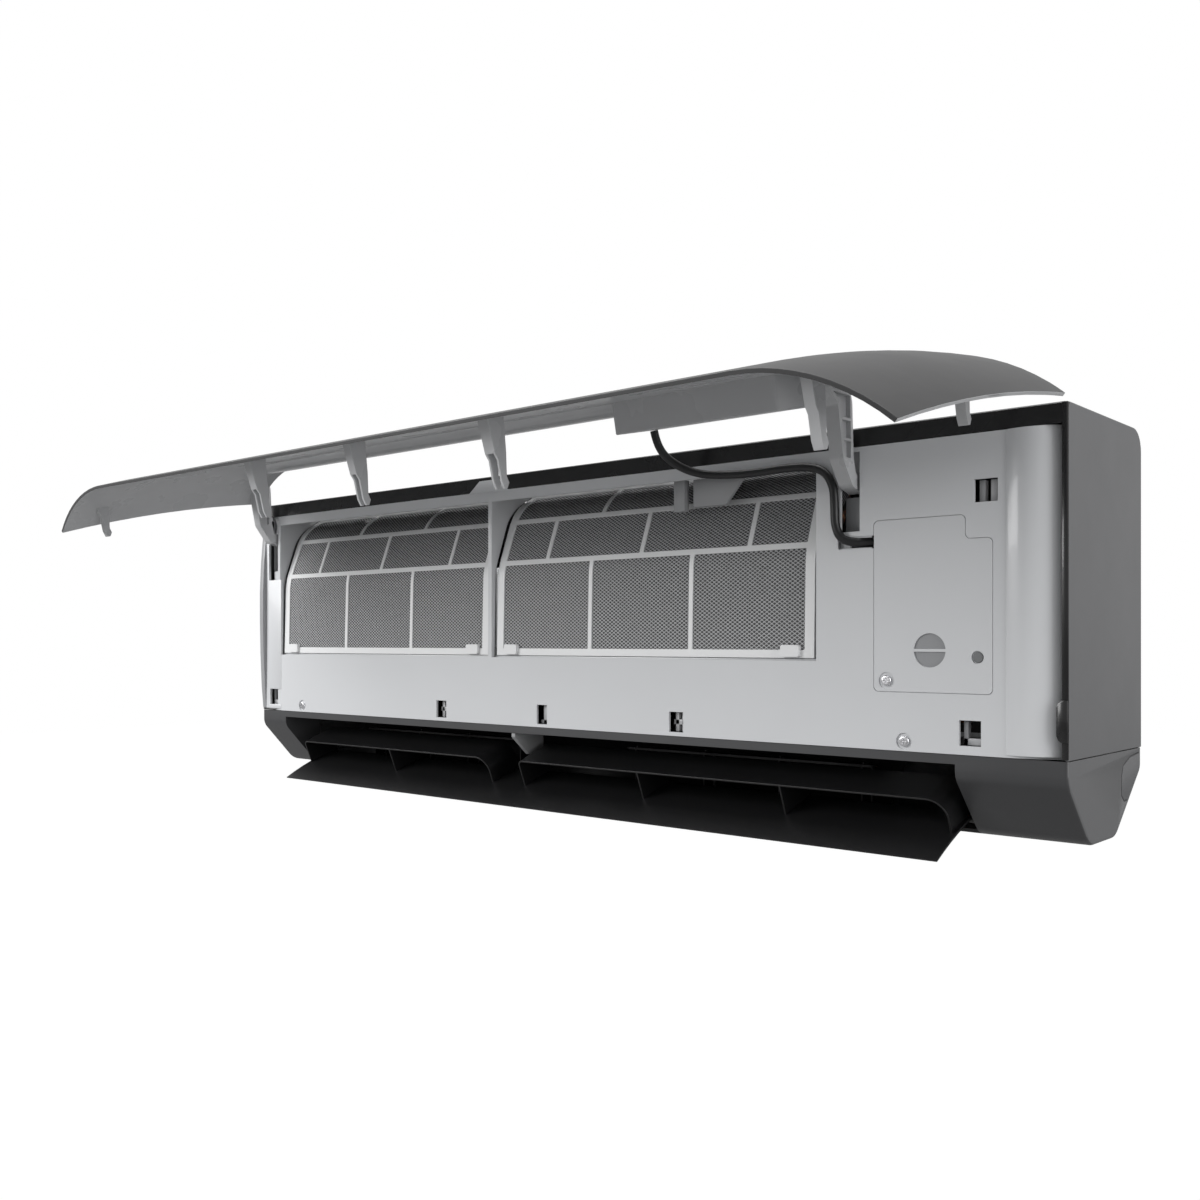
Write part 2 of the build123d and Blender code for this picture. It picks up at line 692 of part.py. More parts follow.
def hinge_arm(center_x):
    """One ribbed arm, with the bore for its hinge pin."""
    with BuildPart() as arm:
        with BuildSketch(on_x(center_x - ARM_THICKNESS / 2)) as side:
            with BuildLine():
                FilletPolyline(*arm_points(ARM_OUTLINE), radius=list(ARM_CORNERS), close=True)
            make_face()
            with Locations((HINGE_Y, HINGE_Z)):
                Circle(HUB_RADIUS)
                Circle(HINGE_PIN_RADIUS + PIN_CLEARANCE, mode=Mode.SUBTRACT)
        extrude(amount=ARM_THICKNESS)
        # pockets on both faces leave a rim, a web and cross ribs
        pocket_depth = (ARM_THICKNESS - ARM_WEB) / 2
        for face_x in (center_x - ARM_THICKNESS / 2, center_x + ARM_THICKNESS / 2 - pocket_depth):
            with BuildSketch(on_x(face_x)):
                with BuildLine():
                    FilletPolyline(
                        *arm_points(((11, 46), (41, 42), (38, 36), (25, 28), (21, 5), (17, -14), (9, -14), (10, 28))),
                        radius=1,
                        close=True,
                    )
                make_face()
                with Locations((FRONT_Y - 24, HINGE_Z + 36), (FRONT_Y - 16, HINGE_Z + 16), (FRONT_Y - 14, HINGE_Z)):
                    Rectangle(44, 2, mode=Mode.SUBTRACT)
            extrude(amount=pocket_depth, mode=Mode.SUBTRACT)
    trimmed = arm.part - panel_shell - opened(panel_outside.part)
    return max(trimmed.solids(), key=lambda solid: solid.volume)


hinge_arm_left = hinge_arm(ARM_X[0])
save("hinge_arm_left", hinge_arm_left)
hinge_arm_right = hinge_arm(ARM_X[1])
save("hinge_arm_right", hinge_arm_right)


# Hinge brackets: two ears under the top that hold each arm's pin.
EAR_THICKNESS = 3.0
EAR_GAP = 0.5
EAR_HEAD = TOP_Z - GRILLE_WALL


def hinge_bracket(center_x, name):
    """Two ears hanging from the top, with the pin fixed between them."""
    ear_start = ARM_THICKNESS / 2 + EAR_GAP
    with BuildPart() as bracket:
        for ear_x in (center_x - ear_start - EAR_THICKNESS, center_x + ear_start):
            with BuildSketch(on_x(ear_x)):
                with Locations((HINGE_Y + 3, (EAR_HEAD + HINGE_Z - 8) / 2)):
                    Rectangle(18, EAR_HEAD - HINGE_Z + 8)
            extrude(amount=EAR_THICKNESS)
        with BuildSketch(on_x(center_x - ear_start - EAR_THICKNESS)):
            with Locations((HINGE_Y, HINGE_Z)):
                Circle(HINGE_PIN_RADIUS)
        extrude(amount=2 * (ear_start + EAR_THICKNESS))
    save(name, bracket.part)


hinge_bracket(ARM_X[0], "hinge_bracket_left")
hinge_bracket(ARM_X[1], "hinge_bracket_right")


# ---------------------------------------------------------------- louver and vanes
SLOPE = radians(LOUVER_SLOPE)
BLADE_TAIL = 8.0          # blade behind its axis
BLADE_WALL = 2.0
BLADE_CROWN = 2.0
GUIDE_START = -10.0
GUIDE_END = 30.0
GUIDE_WALL = 1.6
GUIDES = (
    ("louver_guide_left", -412.0, -95.0, (-252.0,)),
    ("louver_guide_right", -48.0, 407.0, (106.0, 260.0)),
)
LOUVER_AXIS = Axis((0, LOUVER_Y, LOUVER_Z), (1, 0, 0))
LOUVER_PLANE = Plane(
    origin=(0, LOUVER_Y, LOUVER_Z), x_dir=(1, 0, 0), z_dir=(0, -cos(SLOPE), -sin(SLOPE))
)


def louver_point(along, above):
    """Point of the blade's section, along the open blade and above it, from the axis."""
    return (
        LOUVER_Y - along * cos(SLOPE) - above * sin(SLOPE),
        LOUVER_Z - along * sin(SLOPE) + above * cos(SLOPE),
    )


BLADE_MIDDLE = (LOUVER_REACH - BLADE_TAIL) / 2

with BuildPart() as louver_blade:
    with BuildSketch(on_x(LOUVER_LEFT)):
        with BuildLine():
            ThreePointArc(
                louver_point(-BLADE_TAIL, 0),
                louver_point(BLADE_MIDDLE, BLADE_CROWN),
                louver_point(LOUVER_REACH, 0),
            )
            Line(louver_point(LOUVER_REACH, 0), louver_point(LOUVER_REACH, BLADE_WALL / 2))
            ThreePointArc(
                louver_point(LOUVER_REACH, BLADE_WALL / 2),
                louver_point(BLADE_MIDDLE, BLADE_CROWN + BLADE_WALL),
                louver_point(-BLADE_TAIL, BLADE_WALL),
            )
            Line(louver_point(-BLADE_TAIL, BLADE_WALL), louver_point(-BLADE_TAIL, 0))
        make_face()
    extrude(amount=LOUVER_RIGHT - LOUVER_LEFT)
    # pins at both ends, each on a web that the blade carries
    pin_start = OUTLET_LEFT - WALL + FIT_GAP
    with BuildSketch(on_x(pin_start)):
        with Locations((LOUVER_Y, LOUVER_Z)):
            Circle(LOUVER_PIN_RADIUS)
    extrude(amount=OUTLET_RIGHT + WALL - FIT_GAP - pin_start)
save("louver_blade", louver_blade.part)


def louver_guide(name, left, right, fins):
    """Upper sheet of the louver with its end walls and fins, standing on the blade."""
    with BuildPart() as guide:
        with BuildSketch(LOUVER_PLANE.offset(GUIDE_START)):
            with BuildLine():
                FilletPolyline(
                    (left, 0), (left, LOUVER_TIER), (right, LOUVER_TIER), (right, 0), radius=[5, 16]
                )
            trace(line_width=GUIDE_WALL)
        extrude(amount=GUIDE_END - GUIDE_START)
        with BuildSketch(LOUVER_PLANE.offset(GUIDE_START)):
            for fin_x in fins:
                with Locations((fin_x, LOUVER_TIER / 2)):
                    Rectangle(GUIDE_WALL, LOUVER_TIER)
        extrude(amount=GUIDE_END - GUIDE_START)
    standing = guide.part - louver_blade.part
    piece = max(standing.solids(), key=lambda solid: solid.volume)
    save(name, piece)


for guide_name, guide_left, guide_right, guide_fins in GUIDES:
    louver_guide(guide_name, guide_left, guide_right, guide_fins)

# Vertical vanes on pins in the floor of the duct, with a link bar for each bank.
VANE_PIVOT_Y = -70.0
VANE_FOOT_Z = -158.0
VANE_HEIGHT = 34.0
VANE_REACH = 17.0
VANE_TAIL = 6.0
VANE_THICKNESS = 1.2
VANE_PIN_RADIUS = 1.5
VANE_ARM = 14.0           # axis to the peg that the link drives
PEG_RADIUS = 1.0
LINK_THICKNESS = 2.0
FLOOR_Z = -162.2
FLOOR_WALL = 1.8
VANE_BANKS = (("left", -245.0), ("right", 170.0))


def vane_positions(bank_x):
    return [bank_x + (step - (VANE_COUNT - 1) / 2) * VANE_PITCH for step in range(VANE_COUNT)]


def vane(center_x, name):
    """One vane with its pivot pin below and the link's peg on top."""
    with BuildPart() as blade:
        with BuildSketch(Plane.XY.offset(VANE_FOOT_Z)):
            with Locations((center_x, VANE_PIVOT_Y + (VANE_TAIL - VANE_REACH) / 2)):
                Rectangle(VANE_THICKNESS, VANE_TAIL + VANE_REACH)
            with Locations((center_x, VANE_PIVOT_Y)):
                Circle(VANE_PIN_RADIUS + 0.8)
        extrude(amount=VANE_HEIGHT)
        with BuildSketch(Plane.XY.offset(FLOOR_Z - FLOOR_WALL / 2 + FIT_GAP)):
            with Locations((center_x, VANE_PIVOT_Y)):
                Circle(VANE_PIN_RADIUS)
        extrude(amount=VANE_FOOT_Z - FLOOR_Z + FLOOR_WALL / 2 - FIT_GAP)
        with BuildSketch(Plane.XY.offset(VANE_FOOT_Z + VANE_HEIGHT)):
            with Locations((center_x, VANE_PIVOT_Y - VANE_ARM)):
                Circle(PEG_RADIUS)
        extrude(amount=LINK_THICKNESS + 2)
    save(name, blade.part)


def vane_link(bank_x, name):
    """Flat bar over a bank of vanes, with a slot for each peg."""
    length = (VANE_COUNT - 1) * VANE_PITCH + 24
    with BuildPart() as link:
        with BuildSketch(Plane.XY.offset(VANE_FOOT_Z + VANE_HEIGHT + FIT_GAP)):
            with Locations((bank_x, VANE_PIVOT_Y - VANE_ARM)):
                SlotOverall(length, 14)
            for peg_x in vane_positions(bank_x):
                with Locations((peg_x, VANE_PIVOT_Y - VANE_ARM + 1)):
                    SlotOverall(9, 3.4, rotation=90, mode=Mode.SUBTRACT)
        extrude(amount=LINK_THICKNESS)
    save(name, link.part)


for bank_name, bank_center in VANE_BANKS:
    vane_link(bank_center, f"vane_link_{bank_name}")
    for number, vane_x in enumerate(vane_positions(bank_center), start=1):
        vane(vane_x, f"vane_{bank_name}_{number}")

# ---------------------------------------------------------------- chassis and fan
BACK_FRONT_Y = -3.7
BACK_REAR_Y = -1.2
CHASSIS_FOOT = -96.0
CHASSIS_HEAD = 148.0
SCROLL_Y = -22.0
SCROLL_HEAD = 44.0
FLOOR_END_Y = -110.0
BORE_RADIUS = 9.0
PLATE_HOLE_SPACING = (700.0, 120.0)
SCREW_CLEARANCE = 7.0     # room in the back wall for the heads of the plate's screws

with BuildPart() as chassis:
    with BuildSketch(on_front(BACK_REAR_Y)):
        with Locations((0, (CHASSIS_FOOT + CHASSIS_HEAD) / 2)):
            Rectangle(2 * INNER_HALF - 44, CHASSIS_HEAD - CHASSIS_FOOT)
        with GridLocations(*PLATE_HOLE_SPACING, 2, 2):
            Circle(SCREW_CLEARANCE, mode=Mode.SUBTRACT)
    extrude(amount=BACK_REAR_Y - BACK_FRONT_Y)
    for bulkhead_x in (BULKHEAD_LEFT, BULKHEAD_RIGHT - WALL):
        with BuildSketch(on_x(bulkhead_x)):
            with BuildLine():
                FilletPolyline(
                    (BACK_FRONT_Y, CHASSIS_FOOT),
                    (FRONT_Y + 12, CHASSIS_FOOT),
                    (FRONT_Y + 12, 60),
                    (FRONT_Y + 34, 108),
                    (FRONT_Y + 70, 130),
                    (BACK_FRONT_Y, 130),
                    radius=[4, 20, 20, 20],
                )
                Line((BACK_FRONT_Y, 130), (BACK_FRONT_Y, CHASSIS_FOOT))
            make_face()
            with Locations((FAN_Y, FAN_Z)):
                Circle(BORE_RADIUS, mode=Mode.SUBTRACT)
        extrude(amount=WALL)
    # scroll behind the fan, running down into the floor of the outlet duct
    with BuildSketch(on_x(BULKHEAD_LEFT + WALL / 2)):
        with BuildLine():
            FilletPolyline(
                (SCROLL_Y, SCROLL_HEAD),
                (SCROLL_Y, -60),
                (-32, -116),
                (-64, FLOOR_Z),
                (FLOOR_END_Y, FLOOR_Z),
                radius=[30, 30, 14],
            )
        trace(line_width=FLOOR_WALL)
    extrude(amount=BULKHEAD_RIGHT - BULKHEAD_LEFT - WALL)
    with BuildSketch(Plane.XY.offset(FLOOR_Z - FLOOR_WALL)):
        for bank_name, bank_center in VANE_BANKS:
            for vane_x in vane_positions(bank_center):
                with Locations((vane_x, VANE_PIVOT_Y)):
                    Circle(VANE_PIN_RADIUS + PIN_CLEARANCE)
    extrude(amount=2 * FLOOR_WALL, mode=Mode.SUBTRACT)
save("chassis", chassis.part)

# Cross-flow fan: curved blades between discs, with a shaft at its right end.
FAN_LEFT = -446.0
FAN_RIGHT = 304.0
FAN_DISCS = 9
DISC_THICKNESS = 2.0
BLADE_RING = 36.0         # inner edge of the blades
FAN_BLADE_WALL = 1.3
BLADE_LEAN = 0.17         # radians from the blade's root to its tip


def fan_point(radius, angle):
    return (FAN_Y + radius * cos(angle), FAN_Z + radius * sin(angle))


with BuildPart() as fan_wheel:
    with BuildSketch(on_x(FAN_LEFT)):
        for blade_number in range(FAN_BLADES):
            turn = radians(360 / FAN_BLADES * blade_number)
            with BuildLine():
                Line(
                    fan_point(BLADE_RING, turn),
                    fan_point(FAN_RADIUS - FAN_BLADE_WALL / 2, turn + BLADE_LEAN),
                )
            trace(line_width=FAN_BLADE_WALL)
    extrude(amount=FAN_RIGHT - FAN_LEFT)
    disc_step = (FAN_RIGHT - FAN_LEFT - DISC_THICKNESS) / (FAN_DISCS - 1)
    for disc_number in range(FAN_DISCS):
        with BuildSketch(on_x(FAN_LEFT + disc_number * disc_step)):
            with Locations((FAN_Y, FAN_Z)):
                Circle(FAN_RADIUS)
        extrude(amount=DISC_THICKNESS)
    for shaft_x, shaft_length in ((FAN_LEFT, FAN_LEFT - BULKHEAD_LEFT + 6), (FAN_RIGHT, 40)):
        with BuildSketch(on_x(shaft_x)):
            with Locations((FAN_Y, FAN_Z)):
                Circle(FAN_SHAFT_RADIUS)
        extrude(amount=-shaft_length if shaft_x == FAN_LEFT else shaft_length)
save("fan_wheel", fan_wheel.part)

# Bearing of the fan, pressed into the left bulkhead.
with BuildPart() as fan_bearing:
    with BuildSketch(on_x(BULKHEAD_LEFT)):
        with Locations((FAN_Y, FAN_Z)):
            Circle(BORE_RADIUS)
            Circle(FAN_SHAFT_RADIUS + PIN_CLEARANCE, mode=Mode.SUBTRACT)
    extrude(amount=WALL + 1.5)
    with BuildSketch(on_x(BULKHEAD_LEFT - 3)):
        with Locations((FAN_Y, FAN_Z)):
            Circle(BORE_RADIUS + 4)
            Circle(FAN_SHAFT_RADIUS + PIN_CLEARANCE, mode=Mode.SUBTRACT)
    extrude(amount=3)
save("fan_bearing", fan_bearing.part)

# Fan motor on the right bulkhead, held by a ring of three feet.
MOTOR_RADIUS = 36.0
MOTOR_START = BULKHEAD_RIGHT + 4
MOTOR_LENGTH = 52.0

with BuildPart() as fan_motor:
    with BuildSketch(on_x(MOTOR_START)):
        with Locations((FAN_Y, FAN_Z)):
            Circle(MOTOR_RADIUS)
    extrude(amount=MOTOR_LENGTH)
    fillet(fan_motor.edges().filter_by(GeomType.CIRCLE), radius=4)
    with BuildSketch(on_x(BULKHEAD_RIGHT)):
        with Locations((FAN_Y, FAN_Z)):
            with PolarLocations(MOTOR_RADIUS - 8, 3, start_angle=90):
                Circle(5)
    extrude(amount=12)
    with BuildSketch(on_x(BULKHEAD_RIGHT)):
        with Locations((FAN_Y, FAN_Z)):
            Circle(FAN_SHAFT_RADIUS + PIN_CLEARANCE)
    extrude(amount=FAN_RIGHT + 40 - BULKHEAD_RIGHT + 1, mode=Mode.SUBTRACT)
save("fan_motor", fan_motor.part)

# Stepping motor of the louver, outside the right wall of the outlet.
STEPPER_RADIUS = 12.0
STEPPER_OFFSET = 9.0      # body centre behind and above the louver's axis

with BuildPart() as louver_motor:
    with BuildSketch(on_x(OUTLET_RIGHT + WALL)):
        with Locations((LOUVER_Y + STEPPER_OFFSET, LOUVER_Z + STEPPER_OFFSET)):
            Circle(STEPPER_RADIUS)
    extrude(amount=17)
    fillet(louver_motor.edges().sort_by(Axis.X)[-1], radius=1.5)
    with BuildSketch(on_x(OUTLET_RIGHT + WALL)):
        with Locations((LOUVER_Y + STEPPER_OFFSET, LOUVER_Z + STEPPER_OFFSET)):
            SlotOverall(34, 7, rotation=-45)
    extrude(amount=1.5)
save("louver_motor", louver_motor.part)

# ---------------------------------------------------------------- coil
COIL_LEFT = BULKHEAD_LEFT + WALL
COIL_RIGHT = 297.0
COIL_GROOVES = 44
COIL_GROOVE = (1.0, 1.2)
SLABS = (
    ("coil_front", (FRONT_Y + 23, -30), (FRONT_Y + 24, 60)),
    ("coil_upper", (FRONT_Y + 40, 78), (FRONT_Y + 80, 122)),
    ("coil_rear", (FRONT_Y + 103, 120), (FRONT_Y + 127, 52)),
)


def coil_slab(name, foot, head):
    """One straight slab of the finned coil, grooved on both faces between bunches of fins."""
    with BuildPart() as slab:
        with BuildSketch(on_x(COIL_LEFT)):
            with BuildLine():
                Line(foot, head)
            trace(line_width=COIL_THICKNESS)
        extrude(amount=COIL_RIGHT - COIL_LEFT)
        pitch = (COIL_RIGHT - COIL_LEFT) / (COIL_GROOVES + 1)
        with BuildSketch(on_x(COIL_LEFT)):
            with BuildLine():
                Line(foot, head)
            trace(line_width=COIL_THICKNESS + 2)
            with BuildLine():
                Line(foot, head)
            trace(line_width=COIL_THICKNESS - 2 * COIL_GROOVE[1], mode=Mode.SUBTRACT)
        ring = extrude(amount=COIL_GROOVE[0], mode=Mode.PRIVATE)
        for groove in range(1, COIL_GROOVES + 1):
            add(ring.moved(Location((groove * pitch, 0, 0))), mode=Mode.SUBTRACT)
    save(name, slab.part)


for slab_name, slab_foot, slab_head in SLABS:
    coil_slab(slab_name, slab_foot, slab_head)

# Return bends of the coil's tubes, at the right end of the slabs.
BEND_RADIUS = 5.0
TUBE_RADIUS = 3.2
BENDS_PER_SLAB = (4, 2, 3)

with BuildPart() as coil_bends:
    for (slab_name, slab_foot, slab_head), bend_count in zip(SLABS, BENDS_PER_SLAB):
        direction = (Vector(*slab_head) - Vector(*slab_foot)).normalized()
        length = (Vector(*slab_head) - Vector(*slab_foot)).length
        for bend in range(bend_count):
            centre = Vector(*slab_foot) + direction * (length * (bend + 0.5) / bend_count)
            bend_plane = Plane(
                origin=(COIL_RIGHT, centre.X, centre.Y),
                x_dir=(0, direction.X, direction.Y),
                z_dir=(1, 0, 0),
            )
            with BuildSketch(bend_plane):
                with Locations((BEND_RADIUS, 0)):
                    Circle(TUBE_RADIUS)
            revolve(axis=Axis(bend_plane.origin, bend_plane.y_dir), revolution_arc=-180)
save("coil_bends", coil_bends.part)

# Drain pan under the front slab.
with BuildPart() as drain_pan:
    with BuildSketch(on_x(COIL_LEFT)):
        with BuildLine():
            Polyline(
                (FRONT_Y + 8, -22),
                (FRONT_Y + 8, -46),
                (FRONT_Y + 35, -46),
                (FRONT_Y + 35, -36),
            )
        trace(line_width=1.6)
    extrude(amount=BULKHEAD_RIGHT - WALL - COIL_LEFT)
save("drain_pan", drain_pan.part)

# Upper wall of the outlet duct, from the fan's tongue down to the lip of the outlet.
with BuildPart() as duct_tongue:
    with BuildSketch(on_x(BULKHEAD_LEFT + WALL)):
        with BuildLine():
            FilletPolyline(
                (FAN_Y - 52, FAN_Z + 4),
                (FAN_Y - 52, FAN_Z - 26),
                (FRONT_Y + 9, -98),
                radius=8,
            )
        trace(line_width=1.8)
    extrude(amount=BULKHEAD_RIGHT - BULKHEAD_LEFT - 2 * WALL)
save("duct_tongue", duct_tongue.part)

# ---------------------------------------------------------------- filters
FILTERS = (
    ("left", OPENING_LEFT + 4, PILLAR_X - PILLAR_THICKNESS / 2 - 4),
    ("right", PILLAR_X + PILLAR_THICKNESS / 2 + 4, OPENING_RIGHT - 4),
)


def filter_sheet(left, right, thickness):
    with BuildPart() as sheet:
        with BuildSketch(on_x(left)):
            with BuildLine():
                add(filter_path(0, FILTER_HEAD_Y))
            trace(line_width=thickness)
        extrude(amount=right - left)
    return sheet.part


def filter_parts(side, left, right):
    """A filter's curved frame of rails and ribs, and the net moulded into its windows."""
    inner_left = left + FILTER_RAIL
    inner_right = right - FILTER_RAIL
    width = inner_right - inner_left
    front = FRONT_Y - 2
    rows = (
        (3, 0.0, (front, -23.0), (FRONT_Y + 20, 61.0)),
        (3, 0.5, (front, 66.0), (FRONT_Y + 30, 104.0)),
        (3, 0.0, (FRONT_Y + 14, 109.0), (FRONT_Y + 52, 150.0)),
        (3, 0.5, (FRONT_Y + 58, 120.0), (FRONT_Y + 106, 150.0)),
    )
    with BuildPart() as frame:
        add(filter_sheet(left, right, FILTER_FRAME))
        for cells, shift, (low_y, low_z), (high_y, high_z) in rows:
            cell = width / cells
            ribs = [inner_left + cell * (step + shift) for step in range(cells + 1)]
            stops = [inner_left] + [x for x in ribs if inner_left < x < inner_right] + [inner_right]
            for start, stop in zip(stops, stops[1:]):
                with BuildSketch(Plane.XY.offset(low_z)):
                    with Locations(((start + stop) / 2, (low_y + high_y) / 2)):
                        Rectangle(stop - start - FILTER_RIB, high_y - low_y)
                extrude(amount=high_z - low_z, mode=Mode.SUBTRACT)
        # finger tabs along the foot
        for tab_x in (left + 22, right - 22):
            with BuildSketch(on_front(FRONT_Y + 5)):
                with Locations((tab_x, OPENING_FOOT + 8)):
                    RectangleRounded(18, 10, 2)
            extrude(amount=4.5)
    save(f"filter_frame_{side}", frame.part)
    net = filter_sheet(left + 1, right - 1, MESH_THICKNESS) - frame.part
    save(f"filter_net_{side}", Part(children=list(net.solids())))


for filter_side, filter_left, filter_right in FILTERS:
    filter_parts(filter_side, filter_left, filter_right)

# ---------------------------------------------------------------- electrical box
CONTROL_LEFT = 372.0
CONTROL_RIGHT = 474.0
CONTROL_FOOT = -62.0
CONTROL_HEAD = 84.0
CONTROL_FRONT_Y = FRONT_Y + 7
CONTROL_REAR_Y = FRONT_Y + 42
CONTROL_WALL = 2.0
BOARD_Y = CONTROL_REAR_Y - 10
BOARD_THICKNESS = 1.6
POST_INSET = 8.0
CONTROL_CENTRE = ((CONTROL_LEFT + CONTROL_RIGHT) / 2, (CONTROL_FOOT + CONTROL_HEAD) / 2)
CONTROL_SIZE = (CONTROL_RIGHT - CONTROL_LEFT, CONTROL_HEAD - CONTROL_FOOT)

with BuildPart() as electrical_box:
    with BuildSketch(on_front(CONTROL_REAR_Y)):
        with Locations(CONTROL_CENTRE):
            RectangleRounded(*CONTROL_SIZE, 4)
    extrude(amount=CONTROL_REAR_Y - CONTROL_FRONT_Y)
    with BuildSketch(on_front(CONTROL_REAR_Y - CONTROL_WALL)):
        with Locations(CONTROL_CENTRE):
            RectangleRounded(
                CONTROL_SIZE[0] - 2 * CONTROL_WALL, CONTROL_SIZE[1] - 2 * CONTROL_WALL, 2.5
            )
    extrude(amount=CONTROL_REAR_Y - CONTROL_FRONT_Y, mode=Mode.SUBTRACT)
    with BuildSketch(on_front(CONTROL_REAR_Y - CONTROL_WALL)):
        with Locations(CONTROL_CENTRE):
            with GridLocations(
                CONTROL_SIZE[0] - 2 * POST_INSET - 4, CONTROL_SIZE[1] - 2 * POST_INSET - 4, 2, 2
            ):
                Circle(3)
    extrude(amount=CONTROL_REAR_Y - CONTROL_WALL - BOARD_Y)
save("electrical_box", electrical_box.part)

# Control board with its transformer, capacitors, relays and terminal strip.
with BuildPart() as control_board:
    with BuildSketch(on_front(BOARD_Y)):
        with Locations(CONTROL_CENTRE):
            Rectangle(CONTROL_SIZE[0] - 8, CONTROL_SIZE[1] - 8)
    extrude(amount=BOARD_THICKNESS)
    board_face = BOARD_Y - BOARD_THICKNESS
    with BuildSketch(on_front(board_face)):
        with Locations((CONTROL_LEFT + 26, CONTROL_HEAD - 32)):
            Rectangle(30, 34)
        with Locations((CONTROL_LEFT + 24, CONTROL_FOOT + 40)):
            with GridLocations(0, 20, 1, 3):
                Rectangle(18, 14)
    extrude(amount=15)
    with BuildSketch(on_front(board_face)):
        with Locations((CONTROL_RIGHT - 30, CONTROL_HEAD - 34)):
            with GridLocations(20, 20, 2, 2):
                Circle(7)
        with Locations((CONTROL_RIGHT - 62, CONTROL_FOOT + 16)):
            Rectangle(60, 12)
    extrude(amount=11)
save("control_board", control_board.part)

# ---------------------------------------------------------------- pipes and wall plate
GAS_RADIUS = 4.8
LIQUID_RADIUS = 3.2
PIPE_TOP = 50.0
PIPE_FOOT = -80.0
PIPE_TURN_X = 462.0
PIPE_END_X = 344.0
PIPE_BEND = 22.0


def pipe(radius, center_y, drop, name):
    """Copper pipe from the coil, round the right end and back to its flare nut."""
    with BuildPart() as tube:
        with BuildLine() as route:
            FilletPolyline(
                (BULKHEAD_RIGHT, center_y, PIPE_TOP - drop),
                (PIPE_TURN_X - drop, center_y, PIPE_TOP - drop),
                (PIPE_TURN_X - drop, center_y, PIPE_FOOT + drop),
                (PIPE_END_X, center_y, PIPE_FOOT + drop),
                radius=PIPE_BEND,
            )
        with BuildSketch(on_x(BULKHEAD_RIGHT)):
            with Locations((center_y, PIPE_TOP - drop)):
                Circle(radius)
        sweep()
        with BuildSketch(on_x(PIPE_END_X)):
            with Locations((center_y, PIPE_FOOT + drop)):
                RegularPolygon(radius + 3.2, 6)
                Circle(radius, mode=Mode.SUBTRACT)
        extrude(amount=16)
    save(name, tube.part)


pipe(GAS_RADIUS, -12.0, 0, "gas_pipe")
pipe(LIQUID_RADIUS, -31.0, 12, "liquid_pipe")

PLATE_WIDTH = 940.0
PLATE_FOOT = -108.0
PLATE_HEAD = 118.0
PLATE_THICKNESS = 1.2
PLATE_HOLE_RADIUS = 2.75
PIPE_NOTCH_RADIUS = 34.0

with BuildPart() as wall_plate:
    with BuildSketch(on_front(0)):
        with Locations((0, (PLATE_FOOT + PLATE_HEAD) / 2)):
            RectangleRounded(PLATE_WIDTH, PLATE_HEAD - PLATE_FOOT, 8)
        with Locations((-PLATE_WIDTH / 2, PLATE_FOOT), (PLATE_WIDTH / 2, PLATE_FOOT)):
            Circle(PIPE_NOTCH_RADIUS, mode=Mode.SUBTRACT)
        with GridLocations(*PLATE_HOLE_SPACING, 2, 2):
            Circle(PLATE_HOLE_RADIUS, mode=Mode.SUBTRACT)
        with GridLocations(240, 130, 3, 2):
            SlotOverall(90, 26, mode=Mode.SUBTRACT)
    extrude(amount=PLATE_THICKNESS)
save("wall_plate", wall_plate.part)

# ---------------------------------------------------------------- display lead
# Hangs from the lid of the display box to the head of the cover, lies along it,
# turns down beside the arm's slot and dives behind the terminal cover.
LEAD_POINTS = (
    (158.0, -200.2, 166.1),
    (159.0, -197.0, 152.0),
    (168.0, -186.5, 138.0),
    (186.0, -175.5, 128.5),
    (210.0, -169.0, 126.0),
    (240.0, -167.5, 125.3),
    (268.0, -167.3, 126.6),
    (292.0, -167.2, 125.8),
    (307.0, -167.1, 121.0),
    (315.0, -167.0, 108.0),
    (316.0, -167.0, 92.0),
    (316.2, -167.0, 76.0),
    (321.5, -166.0, 64.5),
    (334.0, -160.0, 61.8),
    (347.0, -153.0, 62.0),
    (360.0, -151.2, 62.0),
    (371.8, -151.0, 62.0),
)


def bend_radii(points):
    """The largest arc that each corner's two runs allow."""
    radii = []
    for before, corner, after in zip(points, points[1:], points[2:]):
        run_in = Vector(corner) - Vector(before)
        run_out = Vector(after) - Vector(corner)
        half_turn = radians(run_in.get_angle(run_out)) / 2
        radii.append(0.45 * min(run_in.length, run_out.length) / tan(half_turn))
    return radii


lead_radii = bend_radii(LEAD_POINTS)
print("lead radii:", [round(radius) for radius in lead_radii])

with BuildPart() as display_lead:
    with BuildLine() as lead_route:
        FilletPolyline(*LEAD_POINTS, radius=lead_radii)
    lead_start = lead_route.line.wires()[0] if lead_route.line.wires() else lead_route.wires()[0]
    with BuildSketch(Plane(origin=lead_start @ 0, z_dir=lead_start % 0)):
        Circle(LEAD_RADIUS)
    sweep()
lead_section = 3.14159265 * LEAD_RADIUS**2
print("lead length:", round(lead_start.length, 1))
print("lead volume over section:", round(display_lead.part.volume / lead_section, 1))
save("display_lead", display_lead.part)
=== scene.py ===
import math

import bmesh
import bpy
from mathutils import Matrix, Vector


